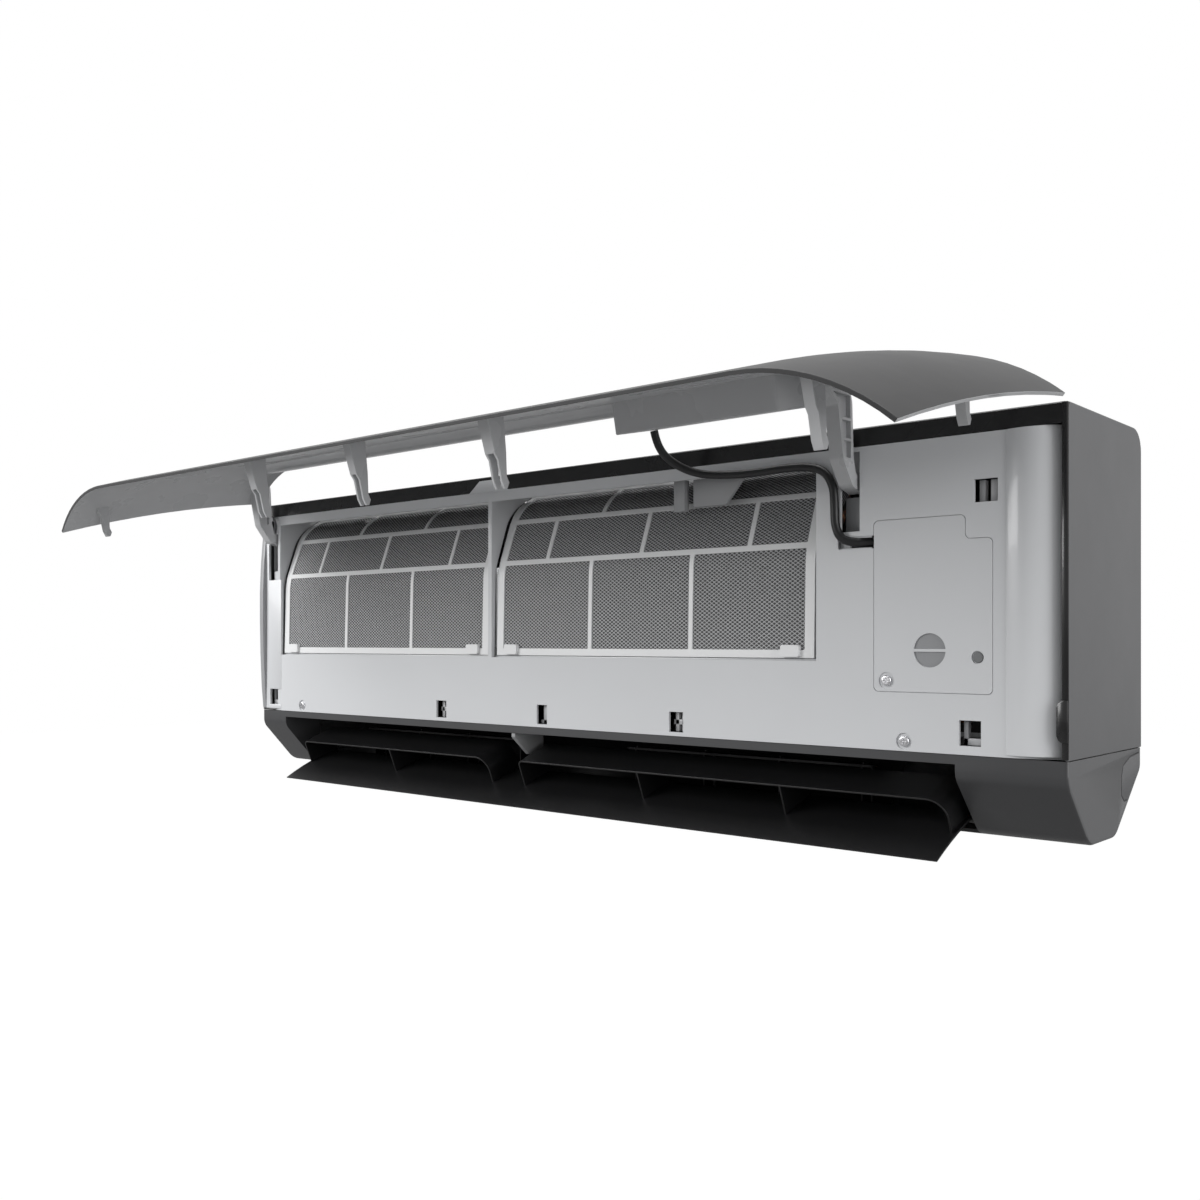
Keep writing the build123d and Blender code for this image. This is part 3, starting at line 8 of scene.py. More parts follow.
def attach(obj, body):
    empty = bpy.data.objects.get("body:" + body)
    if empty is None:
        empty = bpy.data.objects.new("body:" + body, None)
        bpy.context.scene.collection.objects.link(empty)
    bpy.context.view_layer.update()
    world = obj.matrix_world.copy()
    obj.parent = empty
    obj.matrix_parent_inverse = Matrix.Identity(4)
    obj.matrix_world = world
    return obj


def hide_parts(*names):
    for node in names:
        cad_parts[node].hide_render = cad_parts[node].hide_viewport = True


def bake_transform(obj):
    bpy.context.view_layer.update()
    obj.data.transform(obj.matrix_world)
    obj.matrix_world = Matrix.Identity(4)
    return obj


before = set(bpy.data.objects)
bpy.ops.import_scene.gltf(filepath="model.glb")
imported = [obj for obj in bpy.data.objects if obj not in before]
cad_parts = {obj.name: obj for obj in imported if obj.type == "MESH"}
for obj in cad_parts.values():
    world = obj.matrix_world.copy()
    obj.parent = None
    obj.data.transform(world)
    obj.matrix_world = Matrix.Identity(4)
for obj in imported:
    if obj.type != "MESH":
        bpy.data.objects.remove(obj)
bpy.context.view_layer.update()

# ---- Camera, studio light and floor ----
# The unit hangs above a white floor in an even white studio. A broad lamp stands in front
# on the left, a tall one at the right and a long one overhead, as for a catalogue picture.
CAMERA_LENS = 35.85
CAMERA_SENSOR = 36
CAMERA_SHIFT = 0.035
CAMERA_PLACE = (0.805, -1.0075, -0.0166)
CAMERA_PITCH = 90
CAMERA_TURN = 41.3
camera_data = bpy.data.cameras.new("catalogue_camera")
camera_data.lens = CAMERA_LENS
camera_data.sensor_width = CAMERA_SENSOR
camera_data.shift_y = CAMERA_SHIFT
camera = bpy.data.objects.new("catalogue_camera", camera_data)
camera.location = CAMERA_PLACE
camera.rotation_euler = (math.radians(CAMERA_PITCH), 0, math.radians(CAMERA_TURN))
bpy.context.scene.collection.objects.link(camera)
bpy.context.scene.camera = camera
bpy.context.scene.view_settings.view_transform = "Standard"


class Wire:
    """A shader socket that takes part in sums."""

    def __init__(self, finish, socket):
        self.finish = finish
        self.socket = socket

    def sum(self, operation, *values):
        return self.finish.node("ShaderNodeMath", {"operation": operation}, dict(enumerate(values)))

    def __add__(self, other):
        return self.sum("ADD", self, other)

    def __radd__(self, other):
        return self.sum("ADD", other, self)

    def __sub__(self, other):
        return self.sum("SUBTRACT", self, other)

    def __rsub__(self, other):
        return self.sum("SUBTRACT", other, self)

    def __mul__(self, other):
        return self.sum("MULTIPLY", self, other)

    def __rmul__(self, other):
        return self.sum("MULTIPLY", other, self)

    def sine(self):
        return self.sum("SINE", self)

    def above(self, level):
        return self.sum("GREATER_THAN", self, level)

    def size(self):
        return self.sum("ABSOLUTE", self)


class Finish:
    """A surface finish: a principled shader and the nodes that vary it."""

    TONE_SCALE = 7.0
    GLOSS_SCALE = 23.0
    GRAIN_DETAIL = 2
    GRAIN_STRENGTH = 0.6

    def __init__(self, name, color, roughness, metallic=0.0, coat=0.0):
        self.material = bpy.data.materials.new(name)
        self.material.use_nodes = True
        self.tree = self.material.node_tree
        self.shader = self.tree.nodes["Principled BSDF"]
        self.color = color
        self.set("Base Color", (*color, 1))
        self.set("Roughness", roughness)
        self.set("Metallic", metallic)
        self.set("Coat Weight", coat)

    def set(self, name, value):
        socket = self.shader.inputs[name]
        if isinstance(value, Wire):
            self.tree.links.new(value.socket, socket)
        else:
            socket.default_value = value

    def node(self, kind, settings, values, output=0):
        made = self.tree.nodes.new(kind)
        for key, value in settings.items():
            if key == "stops":
                for element, (place, color) in zip(made.color_ramp.elements, value):
                    element.position = place
                    element.color = (*color, 1)
            else:
                setattr(made, key, value)
        for key, value in values.items():
            if isinstance(value, Wire):
                self.tree.links.new(value.socket, made.inputs[key])
            else:
                made.inputs[key].default_value = value
        return Wire(self, made.outputs[output])

    def place(self):
        return self.node("ShaderNodeTexCoord", {}, {}, "Object")

    def axes(self):
        apart = self.tree.nodes.new("ShaderNodeSeparateXYZ")
        self.tree.links.new(self.place().socket, apart.inputs[0])
        return [Wire(self, apart.outputs[axis]) for axis in range(3)]

    def noise(self, scale, detail=3):
        values = {"Vector": self.place(), "Scale": scale, "Detail": detail}
        return self.node("ShaderNodeTexNoise", {}, values)

    def mixed(self, factor, first, second):
        values = {0: factor}
        for index, color in ((6, first), (7, second)):
            values[index] = color if isinstance(color, Wire) else (*color, 1)
        return self.node("ShaderNodeMix", {"data_type": "RGBA"}, values, 2)

    def bump(self, height, distance, strength=1.0):
        values = {"Height": height, "Distance": distance, "Strength": strength}
        self.set("Normal", self.node("ShaderNodeBump", {}, values))

    def moulded(self, grain, distance, tone=0.08, wear=0.06):
        """Injection-moulded plastic: fine grain, slow changes of tone and of gloss."""
        drift = self.noise(self.TONE_SCALE)
        dark = tuple(channel * (1 - tone) for channel in self.color)
        light = tuple(channel * (1 + tone) for channel in self.color)
        self.set("Base Color", self.mixed(drift, dark, light))
        gloss = self.shader.inputs["Roughness"].default_value
        self.set("Roughness", self.noise(self.GLOSS_SCALE) * (2 * wear) + (gloss - wear))
        self.bump(self.noise(grain, self.GRAIN_DETAIL), distance, self.GRAIN_STRENGTH)
        return self


# The studio's white is dimmer as a light than as the background that the camera sees.
STUDIO_LIGHT_LEVEL = 0.52
STUDIO_SEEN_LEVEL = 1.0
studio = bpy.data.worlds.new("white_studio")
bpy.context.scene.world = studio
studio.use_nodes = True
studio_nodes = studio.node_tree.nodes
studio_path = studio_nodes.new("ShaderNodeLightPath")
studio_seen = studio_nodes.new("ShaderNodeMath")
studio_seen.operation = "MAXIMUM"
studio.node_tree.links.new(studio_path.outputs["Is Camera Ray"], studio_seen.inputs[0])
studio.node_tree.links.new(studio_path.outputs["Is Transmission Ray"], studio_seen.inputs[1])
studio_level = studio_nodes.new("ShaderNodeMapRange")
studio_level.inputs["To Min"].default_value = STUDIO_LIGHT_LEVEL
studio_level.inputs["To Max"].default_value = STUDIO_SEEN_LEVEL
studio.node_tree.links.new(studio_seen.outputs[0], studio_level.inputs["Value"])
studio_light = studio_nodes["Background"]
studio_light.inputs["Color"].default_value = (1, 1, 1, 1)
studio.node_tree.links.new(studio_level.outputs[0], studio_light.inputs["Strength"])

STUDIO_LAMPS = (
    ("front_lamp", (-1.3, -1.7, 0.8), (-0.2, -0.1, 0.0), (1.4, 1.2), 40),
    ("right_lamp", (2.4, -0.5, 0.5), (0.45, -0.1, 0.0), (1.0, 1.8), 24),
    ("overhead_lamp", (0.0, -0.3, 1.7), (0.0, -0.1, 0.0), (2.2, 0.7), 24),
)
for lamp_name, lamp_place, lamp_target, (lamp_width, lamp_height), lamp_power in STUDIO_LAMPS:
    lamp_data = bpy.data.lights.new(lamp_name, "AREA")
    lamp_data.shape = "RECTANGLE"
    lamp_data.size = lamp_width
    lamp_data.size_y = lamp_height
    lamp_data.energy = lamp_power
    lamp = bpy.data.objects.new(lamp_name, lamp_data)
    lamp.location = lamp_place
    lamp_aim = Vector(lamp_target) - Vector(lamp_place)
    lamp.rotation_euler = lamp_aim.to_track_quat("-Z", "Y").to_euler()
    bpy.context.scene.collection.objects.link(lamp)

FLOOR_REACH = 9
FLOOR_Z = -0.75
FLOOR_GLOW = 1.03
FLOOR_GLOW_SHARE = 0.97
floor_mesh = bpy.data.meshes.new("studio_floor")
floor_shape = bmesh.new()
bmesh.ops.create_grid(floor_shape, x_segments=1, y_segments=1, size=FLOOR_REACH)
bmesh.ops.translate(floor_shape, verts=floor_shape.verts, vec=(0, 0, FLOOR_Z))
floor_shape.to_mesh(floor_mesh)
floor = bpy.data.objects.new("studio_floor", floor_mesh)
bpy.context.scene.collection.objects.link(floor)
floor_paint = Finish("floor_white", (0.3, 0.3, 0.3), 0.9)
floor_lit = floor_paint.node("ShaderNodeLightPath", {}, {}, "Is Camera Ray")
floor_glow = floor_paint.node(
    "ShaderNodeEmission", {}, {"Strength": FLOOR_GLOW, "Color": (1, 1, 1, 1)}
)
floor_matt = Wire(floor_paint, floor_paint.shader.outputs[0])
floor_blend = floor_paint.node(
    "ShaderNodeMixShader", {}, {0: floor_lit * FLOOR_GLOW_SHARE, 1: floor_matt, 2: floor_glow}
)
floor_output = floor_paint.tree.nodes["Material Output"]
floor_paint.tree.links.new(floor_blend.socket, floor_output.inputs["Surface"])
floor_mesh.materials.append(floor_paint.material)

# ---- Display lead ----
# Black round PVC lead. It drops from the display box in the panel to the head of the
# cover, lies along it, turns down beside the arm and dives behind the terminal cover.
LEAD_DIAMETER = 0.007
LEAD_STEPS = 10
LEAD_ROUNDNESS = 5
LEAD_ROUTE = (
    (0.158, -0.2002, 0.1661),
    (0.159, -0.197, 0.152),
    (0.168, -0.1865, 0.138),
    (0.186, -0.1755, 0.1285),
    (0.21, -0.169, 0.126),
    (0.24, -0.1675, 0.1253),
    (0.268, -0.1673, 0.1266),
    (0.292, -0.1672, 0.1258),
    (0.307, -0.1671, 0.121),
    (0.315, -0.167, 0.108),
    (0.316, -0.167, 0.092),
    (0.3162, -0.167, 0.076),
    (0.3215, -0.166, 0.0645),
    (0.334, -0.16, 0.0618),
    (0.347, -0.153, 0.062),
    (0.36, -0.1512, 0.062),
    (0.3718, -0.151, 0.062),
)


def lead_curve(name, thickness):
    data = bpy.data.curves.new(name, "CURVE")
    data.dimensions = "3D"
    data.resolution_u = LEAD_STEPS
    data.bevel_depth = thickness
    data.bevel_resolution = LEAD_ROUNDNESS
    data.use_fill_caps = True
    spline = data.splines.new("NURBS")
    spline.points.add(len(LEAD_ROUTE) - 1)
    for point, place in zip(spline.points, LEAD_ROUTE):
        point.co = (*place, 1)
    spline.order_u = 3
    spline.use_endpoint_u = True
    return bpy.data.objects.new(name, data)


lead_line = bpy.data.meshes.new_from_object(lead_curve("lead_line", 0))
lead_mesh = bpy.data.meshes.new_from_object(lead_curve("lead_skin", LEAD_DIAMETER / 2))
for polygon in lead_mesh.polygons:
    polygon.use_smooth = True
lead = bpy.data.objects.new("display_lead_flex", lead_mesh)
bpy.context.scene.collection.objects.link(lead)
lead_finish = Finish("lead_pvc", (0.012, 0.012, 0.013), 0.38).moulded(900.0, 0.00004)
lead_mesh.materials.clear()
lead_mesh.materials.append(lead_finish.material)
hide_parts("display_lead")
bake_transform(lead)

# ---- Front panel ----
# The large outer skin of the unit, moulded in dark grey plastic with a satin face that
# turns back in a soft curve at both ends. It is shown swung up on its two arms.
MERGE_DISTANCE = 1e-5
FLAT_ANGLE = math.radians(0.4)
SHARP_ANGLE = math.radians(28)
EASED_ANGLE = math.radians(32)


def dressed(node, body, finish, edge=0.0004, second=None, where=None):
    """The node's own surface with its doubles merged, shaded smooth, its edges eased.

    The faces that where picks, by their centre and normal, have the second finish."""
    shape = bmesh.new()
    shape.from_mesh(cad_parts[node].data)
    bmesh.ops.remove_doubles(shape, verts=shape.verts, dist=MERGE_DISTANCE)
    bmesh.ops.dissolve_limit(
        shape, angle_limit=FLAT_ANGLE, verts=shape.verts, edges=shape.edges
    )
    for face in shape.faces:
        face.smooth = True
    for side in shape.edges:
        if side.is_manifold and side.calc_face_angle(0) > SHARP_ANGLE:
            side.smooth = False
    mesh = bpy.data.meshes.new(f"{node}_skin")
    shape.to_mesh(mesh)
    shape.free()
    mesh.materials.append(finish.material)
    if second:
        mesh.materials.append(second.material)
        for face in mesh.polygons:
            face.material_index = int(where(face.center, face.normal))
    skin = bpy.data.objects.new(f"{node}_skin", mesh)
    bpy.context.scene.collection.objects.link(skin)
    if edge:
        ease = skin.modifiers.new("eased_edges", "BEVEL")
        ease.width = edge
        ease.segments = 2
        ease.limit_method = "ANGLE"
        ease.angle_limit = EASED_ANGLE
        ease.harden_normals = True
    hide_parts(node)
    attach(skin, body)
    return skin


shell_finish = Finish("shell_dark_grey", (0.032, 0.032, 0.033), 0.36, coat=0.08)
shell_finish.moulded(1400.0, 0.00003, tone=0.05, wear=0.04)
# Mid grey of the inner mouldings; on the skin's inner faces this lighter grey is painted sheen.
inner_grey_and_sheen_finish = Finish("inner_grey_and_painted_sheen", (0.5, 0.505, 0.515), 0.28)
inner_grey_and_sheen_finish.moulded(1100.0, 0.00004, tone=0.05, wear=0.05)
# The direction that the raised panel's inner face looks, and where its ends begin to turn in: these
# faces, the same dark plastic as the face, get the lighter inner grey as painted sheen.
SHELL_BACK = Vector((0, 0.208, -0.978))
SHELL_BACK_SHARE = 0.5
SHELL_END_X = 0.35
SHELL_END_TURN = 0.3


# Picks the skin's inner faces that get the lighter grey as painted sheen.
def shell_painted_sheen_faces(center, normal):
    at_end = abs(center.x) > SHELL_END_X and abs(normal.x) > SHELL_END_TURN
    turned_in = center.x * normal.x < 0 and at_end
    return normal.dot(SHELL_BACK) > SHELL_BACK_SHARE or turned_in


dressed(
    "panel_shell",
    "front_panel",
    shell_finish,
    edge=0.0008,
    second=inner_grey_and_sheen_finish,
    where=shell_painted_sheen_faces,
)

# ---- Inner moulding of the front panel ----
# The glossy pale liner clipped inside the skin, and in mid grey plastic the display box
# with its lid, the latch hooks along the edges, the goose-neck arms and their brackets.
liner_finish = Finish("liner_pale_grey", (0.56, 0.565, 0.575), 0.2, coat=0.3)
liner_finish.moulded(900.0, 0.00003, tone=0.06, wear=0.04)
dressed("panel_liner", "front_panel", liner_finish)
for inner_node in (
    "panel_latches",
    "display_box",
    "display_lid",
    "hinge_arm_left",
    "hinge_arm_right",
):
    dressed(inner_node, "front_panel", inner_grey_and_sheen_finish)
for bracket_node in ("hinge_bracket_left", "hinge_bracket_right"):
    dressed(bracket_node, "housing", inner_grey_and_sheen_finish)

# ---- Front cover ----
# The light grey moulded face behind the panel, with windows for the latches, slots for
# the arms and the large opening over the filters. Two screws hold it at the foot.
cover_finish = Finish("cover_light_grey", (0.62, 0.63, 0.645), 0.33, coat=0.1)
cover_finish.moulded(1300.0, 0.00003, tone=0.03, wear=0.04)
dressed("front_cover", "housing", cover_finish)
dressed("terminal_cover", "housing", cover_finish)
CORNER_ANGLE = 0.5
CREASE_ANGLE = 0.6


def pressed(name, body, finish, outline, plane, start, stop, ease=0.0003):
    """A small moulding: an outline on a plane, drawn out and with its edges eased."""
    across = "xyz".index(plane)
    shape = bmesh.new()
    corners = []
    for corner in outline:
        place = list(corner)
        place.insert(across, start)
        corners.append(shape.verts.new(place))
    face = shape.faces.new(corners)
    drawn = bmesh.ops.extrude_face_region(shape, geom=[face])
    moved = [item for item in drawn["geom"] if isinstance(item, bmesh.types.BMVert)]
    travel = [0, 0, 0]
    travel[across] = stop - start
    bmesh.ops.translate(shape, verts=moved, vec=travel)
    bmesh.ops.recalc_face_normals(shape, faces=shape.faces)
    if ease:
        bmesh.ops.bevel(
            shape,
            geom=[edge for edge in shape.edges if edge.calc_face_angle(0) > CORNER_ANGLE],
            offset=ease,
            segments=2,
            affect="EDGES",
            profile=0.5,
            material=-1,
        )
    for side in shape.faces:
        side.smooth = True
    for side in shape.edges:
        if side.is_manifold and side.calc_face_angle(0) > CREASE_ANGLE:
            side.smooth = False
    mesh = bpy.data.meshes.new(name)
    shape.to_mesh(mesh)
    shape.free()
    mesh.materials.append(finish.material)
    piece = bpy.data.objects.new(name, mesh)
    bpy.context.scene.collection.objects.link(piece)
    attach(piece, body)
    return piece


def block(left, right, low, high):
    """The outline of a rectangle."""
    return [(left, low), (right, low), (right, high), (left, high)]


# The rounded column at the cover's right end, a separate face of the same moulding.
COLUMN_PROFILE = (
    (0.454, -0.1600),
    (0.454, -0.1621),
    (0.4565, -0.1633),
    (0.461, -0.1643),
    (0.4665, -0.1648),
    (0.472, -0.1645),
    (0.477, -0.1636),
    (0.482, -0.1619),
    (0.4865, -0.1595),
    (0.4905, -0.1562),
    (0.4935, -0.1522),
    (0.4942, -0.1475),
    (0.4912, -0.1475),
)
COLUMN_RISE = (-0.0985, 0.1375)
column_finish = Finish("column_light_grey", (0.62, 0.63, 0.645), 0.24, coat=0.25)
column_finish.moulded(1300.0, 0.00002, tone=0.02, wear=0.03)
pressed("cover_column", "housing", column_finish, COLUMN_PROFILE, "z", *COLUMN_RISE, 0)

# The flat face at the cover's left end, open round the arm's slot and the first window,
# and the grey cheek beside it, which bulges a little in front of the face.
LEFT_FACE = (
    (-0.4916, -0.0985),
    (-0.46, -0.0985),
    (-0.46, -0.0935),
    (-0.4835, -0.0935),
    (-0.4835, -0.0745),
    (-0.46, -0.0745),
    (-0.46, 0.06),
    (-0.486, 0.06),
    (-0.486, 0.135),
    (-0.4916, 0.135),
)
LEFT_FACE_DEPTH = (-0.1621, -0.159)
pressed("cover_left_face", "housing", cover_finish, LEFT_FACE, "y", *LEFT_FACE_DEPTH)
CHEEK_PROFILE = (
    (-0.1545, -0.0985),
    (-0.162, -0.0985),
    (-0.1645, -0.07),
    (-0.1662, -0.03),
    (-0.167, 0.01),
    (-0.167, 0.045),
    (-0.1655, 0.08),
    (-0.163, 0.11),
    (-0.1615, 0.132),
    (-0.1545, 0.132),
)
CHEEK_WIDTH = (-0.4988, -0.4918)
cheek_finish = Finish("cheek_mid_grey", (0.3, 0.305, 0.315), 0.35).moulded(1300.0, 0.00003)
pressed("cover_cheek", "housing", cheek_finish, CHEEK_PROFILE, "x", *CHEEK_WIDTH)

# The closed back of the right arm's pocket below the arm's sweep, and the rims of the
# slot that the lead dives into.
ARM_POCKET = block(0.3185, 0.3375, 0.0685, 0.099)
ARM_POCKET_DEPTH = (-0.1535, -0.1515)
pressed("arm_pocket_back", "housing", cheek_finish, ARM_POCKET, "y", *ARM_POCKET_DEPTH)
SLOT_RIM = 0.0015
SLOT_FORMS = (
    ("lead_slot_head", (0.3155, 0.3455, 0.0657, 0.0672), -0.1605),
    ("lead_slot_foot", (0.3155, 0.3455, 0.0568, 0.0581), -0.1605),
    ("lead_slot_end", (0.3155, 0.3255, 0.0568, 0.0672), -0.1575),
)
for slot_form, slot_place, slot_face in SLOT_FORMS:
    slot_outline = block(*slot_place)
    slot_back = slot_face + SLOT_RIM
    pressed(slot_form, "housing", cover_finish, slot_outline, "y", slot_face, slot_back)

# Ledges under the filters, which close the joint between frame and cover.
LEDGES = (
    ("left", -0.4615, -0.091),
    ("right", -0.085, 0.2955),
)
LEDGE_RISE = (-0.034, -0.0304)
LEDGE_DEPTH = (-0.157, -0.15)
for ledge_side, *ledge_ends in LEDGES:
    ledge = block(*ledge_ends, *LEDGE_RISE)
    pressed(f"filter_ledge_{ledge_side}", "housing", cover_finish, ledge, "y", *LEDGE_DEPTH)

# The tab at the pillar's head, which rises over the black edge of the top.
HEAD_TAB = ((-0.119, 0.1372), (-0.061, 0.1372), (-0.074, 0.1492), (-0.103, 0.1492))
HEAD_TAB_DEPTH = (-0.1627, -0.158)
pressed("pillar_head_tab", "housing", cover_finish, HEAD_TAB, "y", *HEAD_TAB_DEPTH)

# Grey catches behind the windows, which the panel's latch hooks snap over.
catch_finish = Finish("catch_grey", (0.5, 0.505, 0.515), 0.34)
catch_finish.moulded(1100.0, 0.00004)
CATCHES = (
    (0.4315, 0.4362, 0.0868, 0.1032),
    (0.4402, 0.4452, 0.0868, 0.1032),
    (0.4193, 0.4345, -0.0937, -0.0885),
    (0.4193, 0.4228, -0.0937, -0.0757),
    (0.1455, 0.1592, -0.0905, -0.086),
    (0.1475, 0.1515, -0.0968, -0.0792),
    (0.1548, 0.1588, -0.0968, -0.0792),
    (-0.0172, -0.0125, -0.0972, -0.0788),
    (-0.0205, -0.0078, -0.0972, -0.0935),
    (-0.17, -0.1563, -0.0905, -0.086),
    (-0.168, -0.1642, -0.0968, -0.0792),
    (-0.161, -0.1572, -0.0968, -0.0792),
    (-0.4828, -0.4695, -0.0925, -0.0882),
)
CATCH_DEPTH = (-0.1558, -0.1505)
for number, catch in enumerate(CATCHES, start=1):
    pressed(f"catch_{number}", "housing", catch_finish, block(*catch), "y", *CATCH_DEPTH)

# The sunk disc of the grip, behind its bar, coloured darker than the cover as painted shade in the
# hollow.
WELL_PLACE = (0.3946, -0.1611, -0.023)
WELL_SIDES = 48
WELL_RADIUS = 0.01285
WELL_RIM = 0.0012
WELL_SINK = 0.0004
# Darker grey standing in for the shade in the shallow hollow: painted shade.
well_painted_shade = Finish("grip_well_painted_shade", (0.27, 0.275, 0.285), 0.4)
well_painted_shade.moulded(1300.0, 0.00003)
well_shape = bmesh.new()
bmesh.ops.create_circle(well_shape, cap_ends=True, segments=WELL_SIDES, radius=WELL_RADIUS)
bmesh.ops.inset_region(
    well_shape, faces=well_shape.faces[:], thickness=WELL_RIM, depth=-WELL_SINK
)
bmesh.ops.rotate(
    well_shape,
    verts=well_shape.verts,
    cent=(0, 0, 0),
    matrix=Matrix.Rotation(math.radians(90), 3, "X"),
)
bmesh.ops.translate(well_shape, verts=well_shape.verts, vec=WELL_PLACE)
well_mesh = bpy.data.meshes.new("grip_well")
well_shape.to_mesh(well_mesh)
well_shape.free()
well_mesh.materials.append(well_painted_shade.material)
grip_well = bpy.data.objects.new("grip_well", well_mesh)
bpy.context.scene.collection.objects.link(grip_well)
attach(grip_well, "housing")

# Grey bracket in the head of the right filter opening, with its post and sloped plate.
bracket_finish = Finish("bracket_grey", (0.36, 0.365, 0.375), 0.36)
bracket_finish.moulded(1100.0, 0.00004)
FILTER_POST = block(0.146, 0.158, 0.1, 0.128)
FILTER_POST_DEPTH = (-0.157, -0.15)
pressed("filter_post", "housing", bracket_finish, FILTER_POST, "y", *FILTER_POST_DEPTH)
BRACKET_PLATE = ((0.166, 0.1275), (0.166, 0.103), (0.201, 0.103), (0.222, 0.1275))
BRACKET_DEPTH = (-0.1545, -0.151)
pressed("filter_bracket", "housing", bracket_finish, BRACKET_PLATE, "y", *BRACKET_DEPTH)

# ---- Manual button ----
# Small grey push button beside the grip of the terminal cover.
button_finish = Finish("button_grey", (0.16, 0.165, 0.17), 0.4).moulded(1300.0, 0.00003)
dressed("manual_button", "manual_button", button_finish)

# ---- Cover screws ----
# Bright zinc-plated cross-head screws that hold the covers to the chassis.
screw_finish = Finish("screw_zinc", (0.78, 0.78, 0.8), 0.24, metallic=1.0)
screw_finish.set("Roughness", screw_finish.noise(420.0) * 0.2 + 0.15)
screw_finish.bump(screw_finish.noise(1500.0), 0.00003)
dressed("cover_screws", "housing", screw_finish, edge=0.0002)

# ---- Side panels ----
# Dark grey flat sides, moulded with a fine leather-like grain.
side_finish = Finish("side_dark_grey", (0.13, 0.131, 0.135), 0.42)
side_finish.moulded(700.0, 0.00006, tone=0.05)
for side_node in ("side_panel_left", "side_panel_right"):
    dressed(side_node, "housing", side_finish, edge=0.0008)

# ---- Lower casing ----
# The slanted chin below the seam, dark grey, with the outlet cut through its front.
# Its down-facing front is coloured darker than its ends, which take the side's grey, as painted
# shade.
# Dark grey of the chin, darkened further on its front as painted shade.
chin_grey_and_front_shade = Finish("chin_grey_and_front_shade", (0.05, 0.0505, 0.053), 0.36)
chin_grey_and_front_shade.moulded(900.0, 0.00004, tone=0.06)
CHIN_END_X = 0.494
CHIN_END_TURN = 0.8


# Picks the chin's ends, which keep the side's lighter grey while the front carries painted shade.
def chin_end(center, normal):
    return abs(normal.x) > CHIN_END_TURN and abs(center.x) > CHIN_END_X


chin = dressed(
    "lower_casing",
    "housing",
    chin_grey_and_front_shade,
    edge=0.0006,
    second=side_finish,
    where=chin_end,
)


def grooved(skin, places, depth):
    """A V groove along the places, cut into the skin after its edges are eased."""
    line = bpy.data.curves.new("groove_line", "CURVE")
    line.dimensions = "3D"
    line.bevel_depth = depth
    line.bevel_resolution = 0
    line.use_fill_caps = True
    spline = line.splines.new("POLY")
    spline.points.add(len(places) - 1)
    for point, place in zip(spline.points, places):
        point.co = (*place, 1)
    line_object = bpy.data.objects.new("groove_line", line)
    cutter = bpy.data.objects.new("groove_cutter", bpy.data.meshes.new_from_object(line_object))
    bpy.context.scene.collection.objects.link(cutter)
    cut = skin.modifiers.new("groove", "BOOLEAN")
    cut.object = cutter
    cut.solver = "EXACT"
    view = bpy.context.evaluated_depsgraph_get()
    skin_mesh = bpy.data.meshes.new_from_object(skin.evaluated_get(view), depsgraph=view)
    skin.modifiers.clear()
    skin.data = skin_mesh
    bpy.data.objects.remove(cutter)
    bpy.data.objects.remove(line_object)


# The knock-out for the pipes in the right end, marked by a groove that is thin to break.
KNOCKOUT_X = 0.4991
KNOCKOUT_DEPTH = 0.0009
KNOCKOUT = (
    (-0.008, -0.1045),
    (-0.03, -0.1065),
    (-0.046, -0.112),
    (-0.05, -0.12),
    (-0.05, -0.135),
    (-0.044, -0.14),
    (-0.036, -0.1395),
)
grooved(chin, [(KNOCKOUT_X, *place) for place in KNOCKOUT], KNOCKOUT_DEPTH)

# ---- Top grille ----
# The top with its front lip and rows of slots that draw the air in, dark grey like the sides but
# coloured near black as painted shade.
# Near black: painted shade on the top, and the own black of the edge strip and oval catch.
top_shade_and_black_trim = Finish("top_black", (0.007, 0.007, 0.0075), 0.28, coat=0.2)
top_shade_and_black_trim.moulded(1100.0, 0.00003)
dressed("top_grille", "housing", top_shade_and_black_trim, edge=0.0005)

# Black edge that runs down between the cover and the right side, with its oval catch.
EDGE_STRIP = block(0.4944, 0.4989, -0.1625, -0.1578)
EDGE_STRIP_RISE = (-0.1, 0.1525)
pressed("edge_strip", "housing", top_shade_and_black_trim, EDGE_STRIP, "z", *EDGE_STRIP_RISE, 0.0008)
OVAL_CATCH = (
    (0.491, -0.0625),
    (0.491, -0.083),
    (0.4925, -0.0865),
    (0.4955, -0.088),
    (0.4989, -0.088),
    (0.4989, -0.0575),
    (0.4955, -0.0575),
    (0.4925, -0.059),
)
OVAL_CATCH_DEPTH = (-0.1645, -0.158)
pressed("oval_catch", "housing", top_shade_and_black_trim, OVAL_CATCH, "y", *OVAL_CATCH_DEPTH, 0.001)

# ---- Louver ----
# Black satin blade that swings out of the chin, with two upper sheets on fins that split
# the air in two. The vertical vanes in the duct behind it are of the same plastic.
louver_finish = Finish("louver_black", (0.007, 0.007, 0.0075), 0.34)
louver_finish.moulded(1000.0, 0.00004, tone=0.1)
for louver_node in ("louver_blade", "louver_guide_left", "louver_guide_right"):
    dressed(louver_node, "louver", louver_finish, edge=0.0003)

# Light grey stay between the two upper sheets, under the lip of the outlet.
STAY_SIDE = (
    (-0.16, -0.1085),
    (-0.16, -0.1125),
    (-0.1395, -0.131),
    (-0.1185, -0.131),
    (-0.1185, -0.1085),
)
stay_finish = Finish("stay_grey", (0.3, 0.305, 0.31), 0.4).moulded(1000.0, 0.00004)
STAY_WIDTH = (-0.0585, -0.0535)
pressed("outlet_stay", "housing", stay_finish, STAY_SIDE, "x", *STAY_WIDTH)

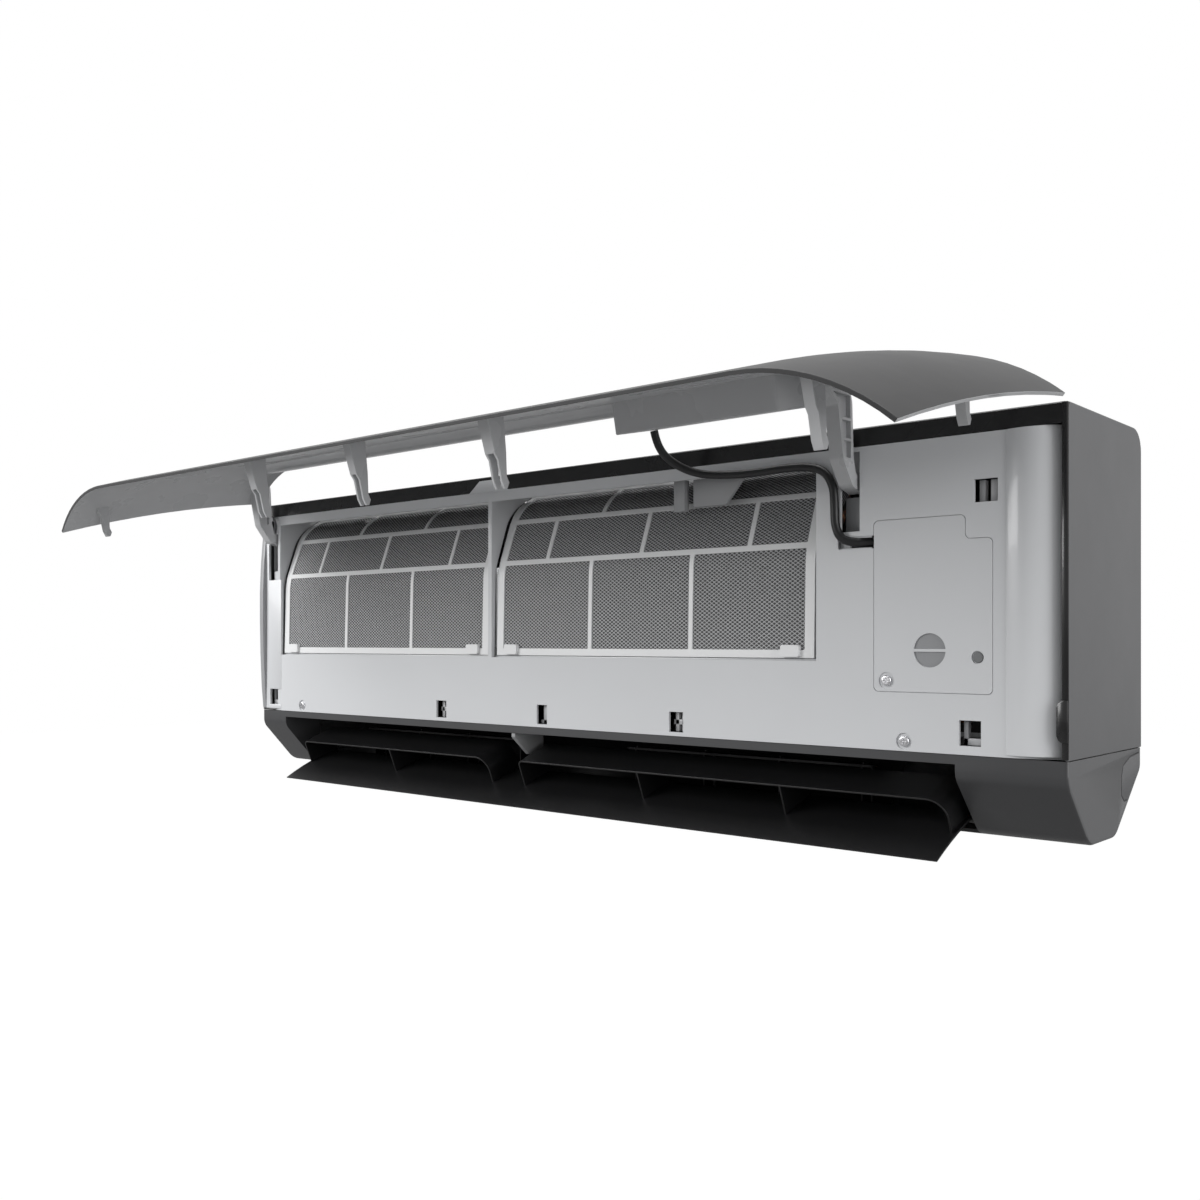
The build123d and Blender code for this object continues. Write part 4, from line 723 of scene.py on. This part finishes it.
# ---- Air filters ----
# White moulded frames of rails and ribs, curved back over the coil, with a fine grey
# net of woven thread moulded into each window.
filter_finish = Finish("filter_white", (0.8, 0.805, 0.81), 0.36)
filter_finish.moulded(1000.0, 0.00004, tone=0.03)
net_finish = Finish("filter_net_grey", (0.3, 0.305, 0.315), 0.55)
MESH_WIDTH = 0.005
MESH_HEIGHT = 0.0034
NET_LEAN = 0.6
NET_THREAD = 0.28
NET_CLEAR = 0.35
net_x, net_y, net_z = net_finish.axes()
net_across = net_x * (math.pi / MESH_WIDTH)
net_up = (net_z + net_y * NET_LEAN) * (math.pi / MESH_HEIGHT)
net_weave = (net_across + net_up).sine() * (net_across - net_up).sine()
net_hole = net_weave.size().above(NET_THREAD)
# Grey thread; the holes are coloured near black as painted shade of the dark inside seen through
# them.
net_thread_and_hole_shade = net_finish.mixed(net_hole, (0.46, 0.465, 0.475), (0.07, 0.07, 0.072))
net_finish.set("Base Color", net_thread_and_hole_shade)
net_finish.set("Alpha", 1 - net_hole * NET_CLEAR)
net_finish.bump(1 - net_hole, 0.0003, 0.6)
for filter_side in ("left", "right"):
    dressed(f"filter_frame_{filter_side}", "housing", filter_finish, edge=0.0003)
    filter_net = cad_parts[f"filter_net_{filter_side}"]
    filter_net.data.materials.clear()
    filter_net.data.materials.append(net_finish.material)

# ---- Coil ----
# Three slabs of aluminium fins on copper tubes, with hairpin bends at the right end.
fin_finish = Finish("fin_aluminium", (0.55, 0.56, 0.57), 0.35, metallic=0.9)
FIN_PITCH = 0.0018
FIN_EDGE = 0.2
fin_x = fin_finish.axes()[0]
# The gaps between the fins are coloured dark as painted shade.
fin_gap = (fin_x * (2 * math.pi / FIN_PITCH)).sine().above(FIN_EDGE)
fin_tone_and_gap_shade = fin_finish.mixed(fin_gap, (0.6, 0.61, 0.62), (0.08, 0.08, 0.085))
fin_finish.set("Base Color", fin_tone_and_gap_shade)
fin_finish.bump(fin_gap, 0.0004)
copper_finish = Finish("copper_tube", (0.55, 0.24, 0.13), 0.3, metallic=1.0)
copper_finish.set("Roughness", copper_finish.noise(90.0) * 0.25 + 0.2)
copper_finish.bump(copper_finish.noise(600.0), 0.00003)


def painted(finish, *nodes):
    """The nodes keep their own surface and get the finish."""
    for node in nodes:
        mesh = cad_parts[node].data
        for index in range(len(mesh.materials)):
            mesh.materials[index] = finish.material


painted(fin_finish, "coil_front", "coil_upper", "coil_rear")
painted(copper_finish, "coil_bends", "gas_pipe", "liquid_pipe")

# ---- Chassis and what it carries ----
# Grey moulded chassis with the scroll and the duct's tongue, coloured black as painted shade
# in the duct; a grey drain pan, electrical box and louver motor; a black cross-flow fan in a
# rubber bearing. The fan's motor and the wall plate are of zinc-plated sheet, and the board
# is green laminate.
duct_finish = Finish("duct_grey", (0.2, 0.203, 0.208), 0.42).moulded(800.0, 0.00005)
painted(duct_finish, "drain_pan", "electrical_box", "louver_motor")
# Painted shade: the grey chassis and tongue are coloured black for the dark duct.
duct_painted_shade = Finish("duct_painted_shade", (0.012, 0.012, 0.0125), 0.5).moulded(800.0, 0.00005)
painted(duct_painted_shade, "chassis", "duct_tongue")
vane_names = [f"vane_{bank}_{step}" for bank in ("left", "right") for step in range(1, 5)]
painted(louver_finish, "vane_link_left", "vane_link_right", "fan_wheel", *vane_names)
bearing_finish = Finish("bearing_rubber", (0.02, 0.02, 0.02), 0.7).moulded(700.0, 0.00006)
painted(bearing_finish, "fan_bearing")
zinc_finish = Finish("zinc_sheet", (0.5, 0.51, 0.52), 0.4, metallic=0.8)
zinc_values = {"Vector": zinc_finish.place(), "Scale": 160.0}
zinc_spangle = zinc_finish.node("ShaderNodeTexVoronoi", {}, zinc_values)
zinc_finish.set("Roughness", zinc_spangle * 0.3 + 0.25)
zinc_tone = zinc_finish.mixed(zinc_spangle, (0.42, 0.43, 0.44), (0.58, 0.59, 0.6))
zinc_finish.set("Base Color", zinc_tone)
painted(zinc_finish, "wall_plate", "fan_motor")
board_finish = Finish("board_green", (0.02, 0.11, 0.045), 0.4)
board_tracks = board_finish.noise(240.0).above(0.52)
board_tone = board_finish.mixed(board_tracks, (0.018, 0.1, 0.04), (0.03, 0.16, 0.07))
board_finish.set("Base Color", board_tone)
painted(board_finish, "control_board")
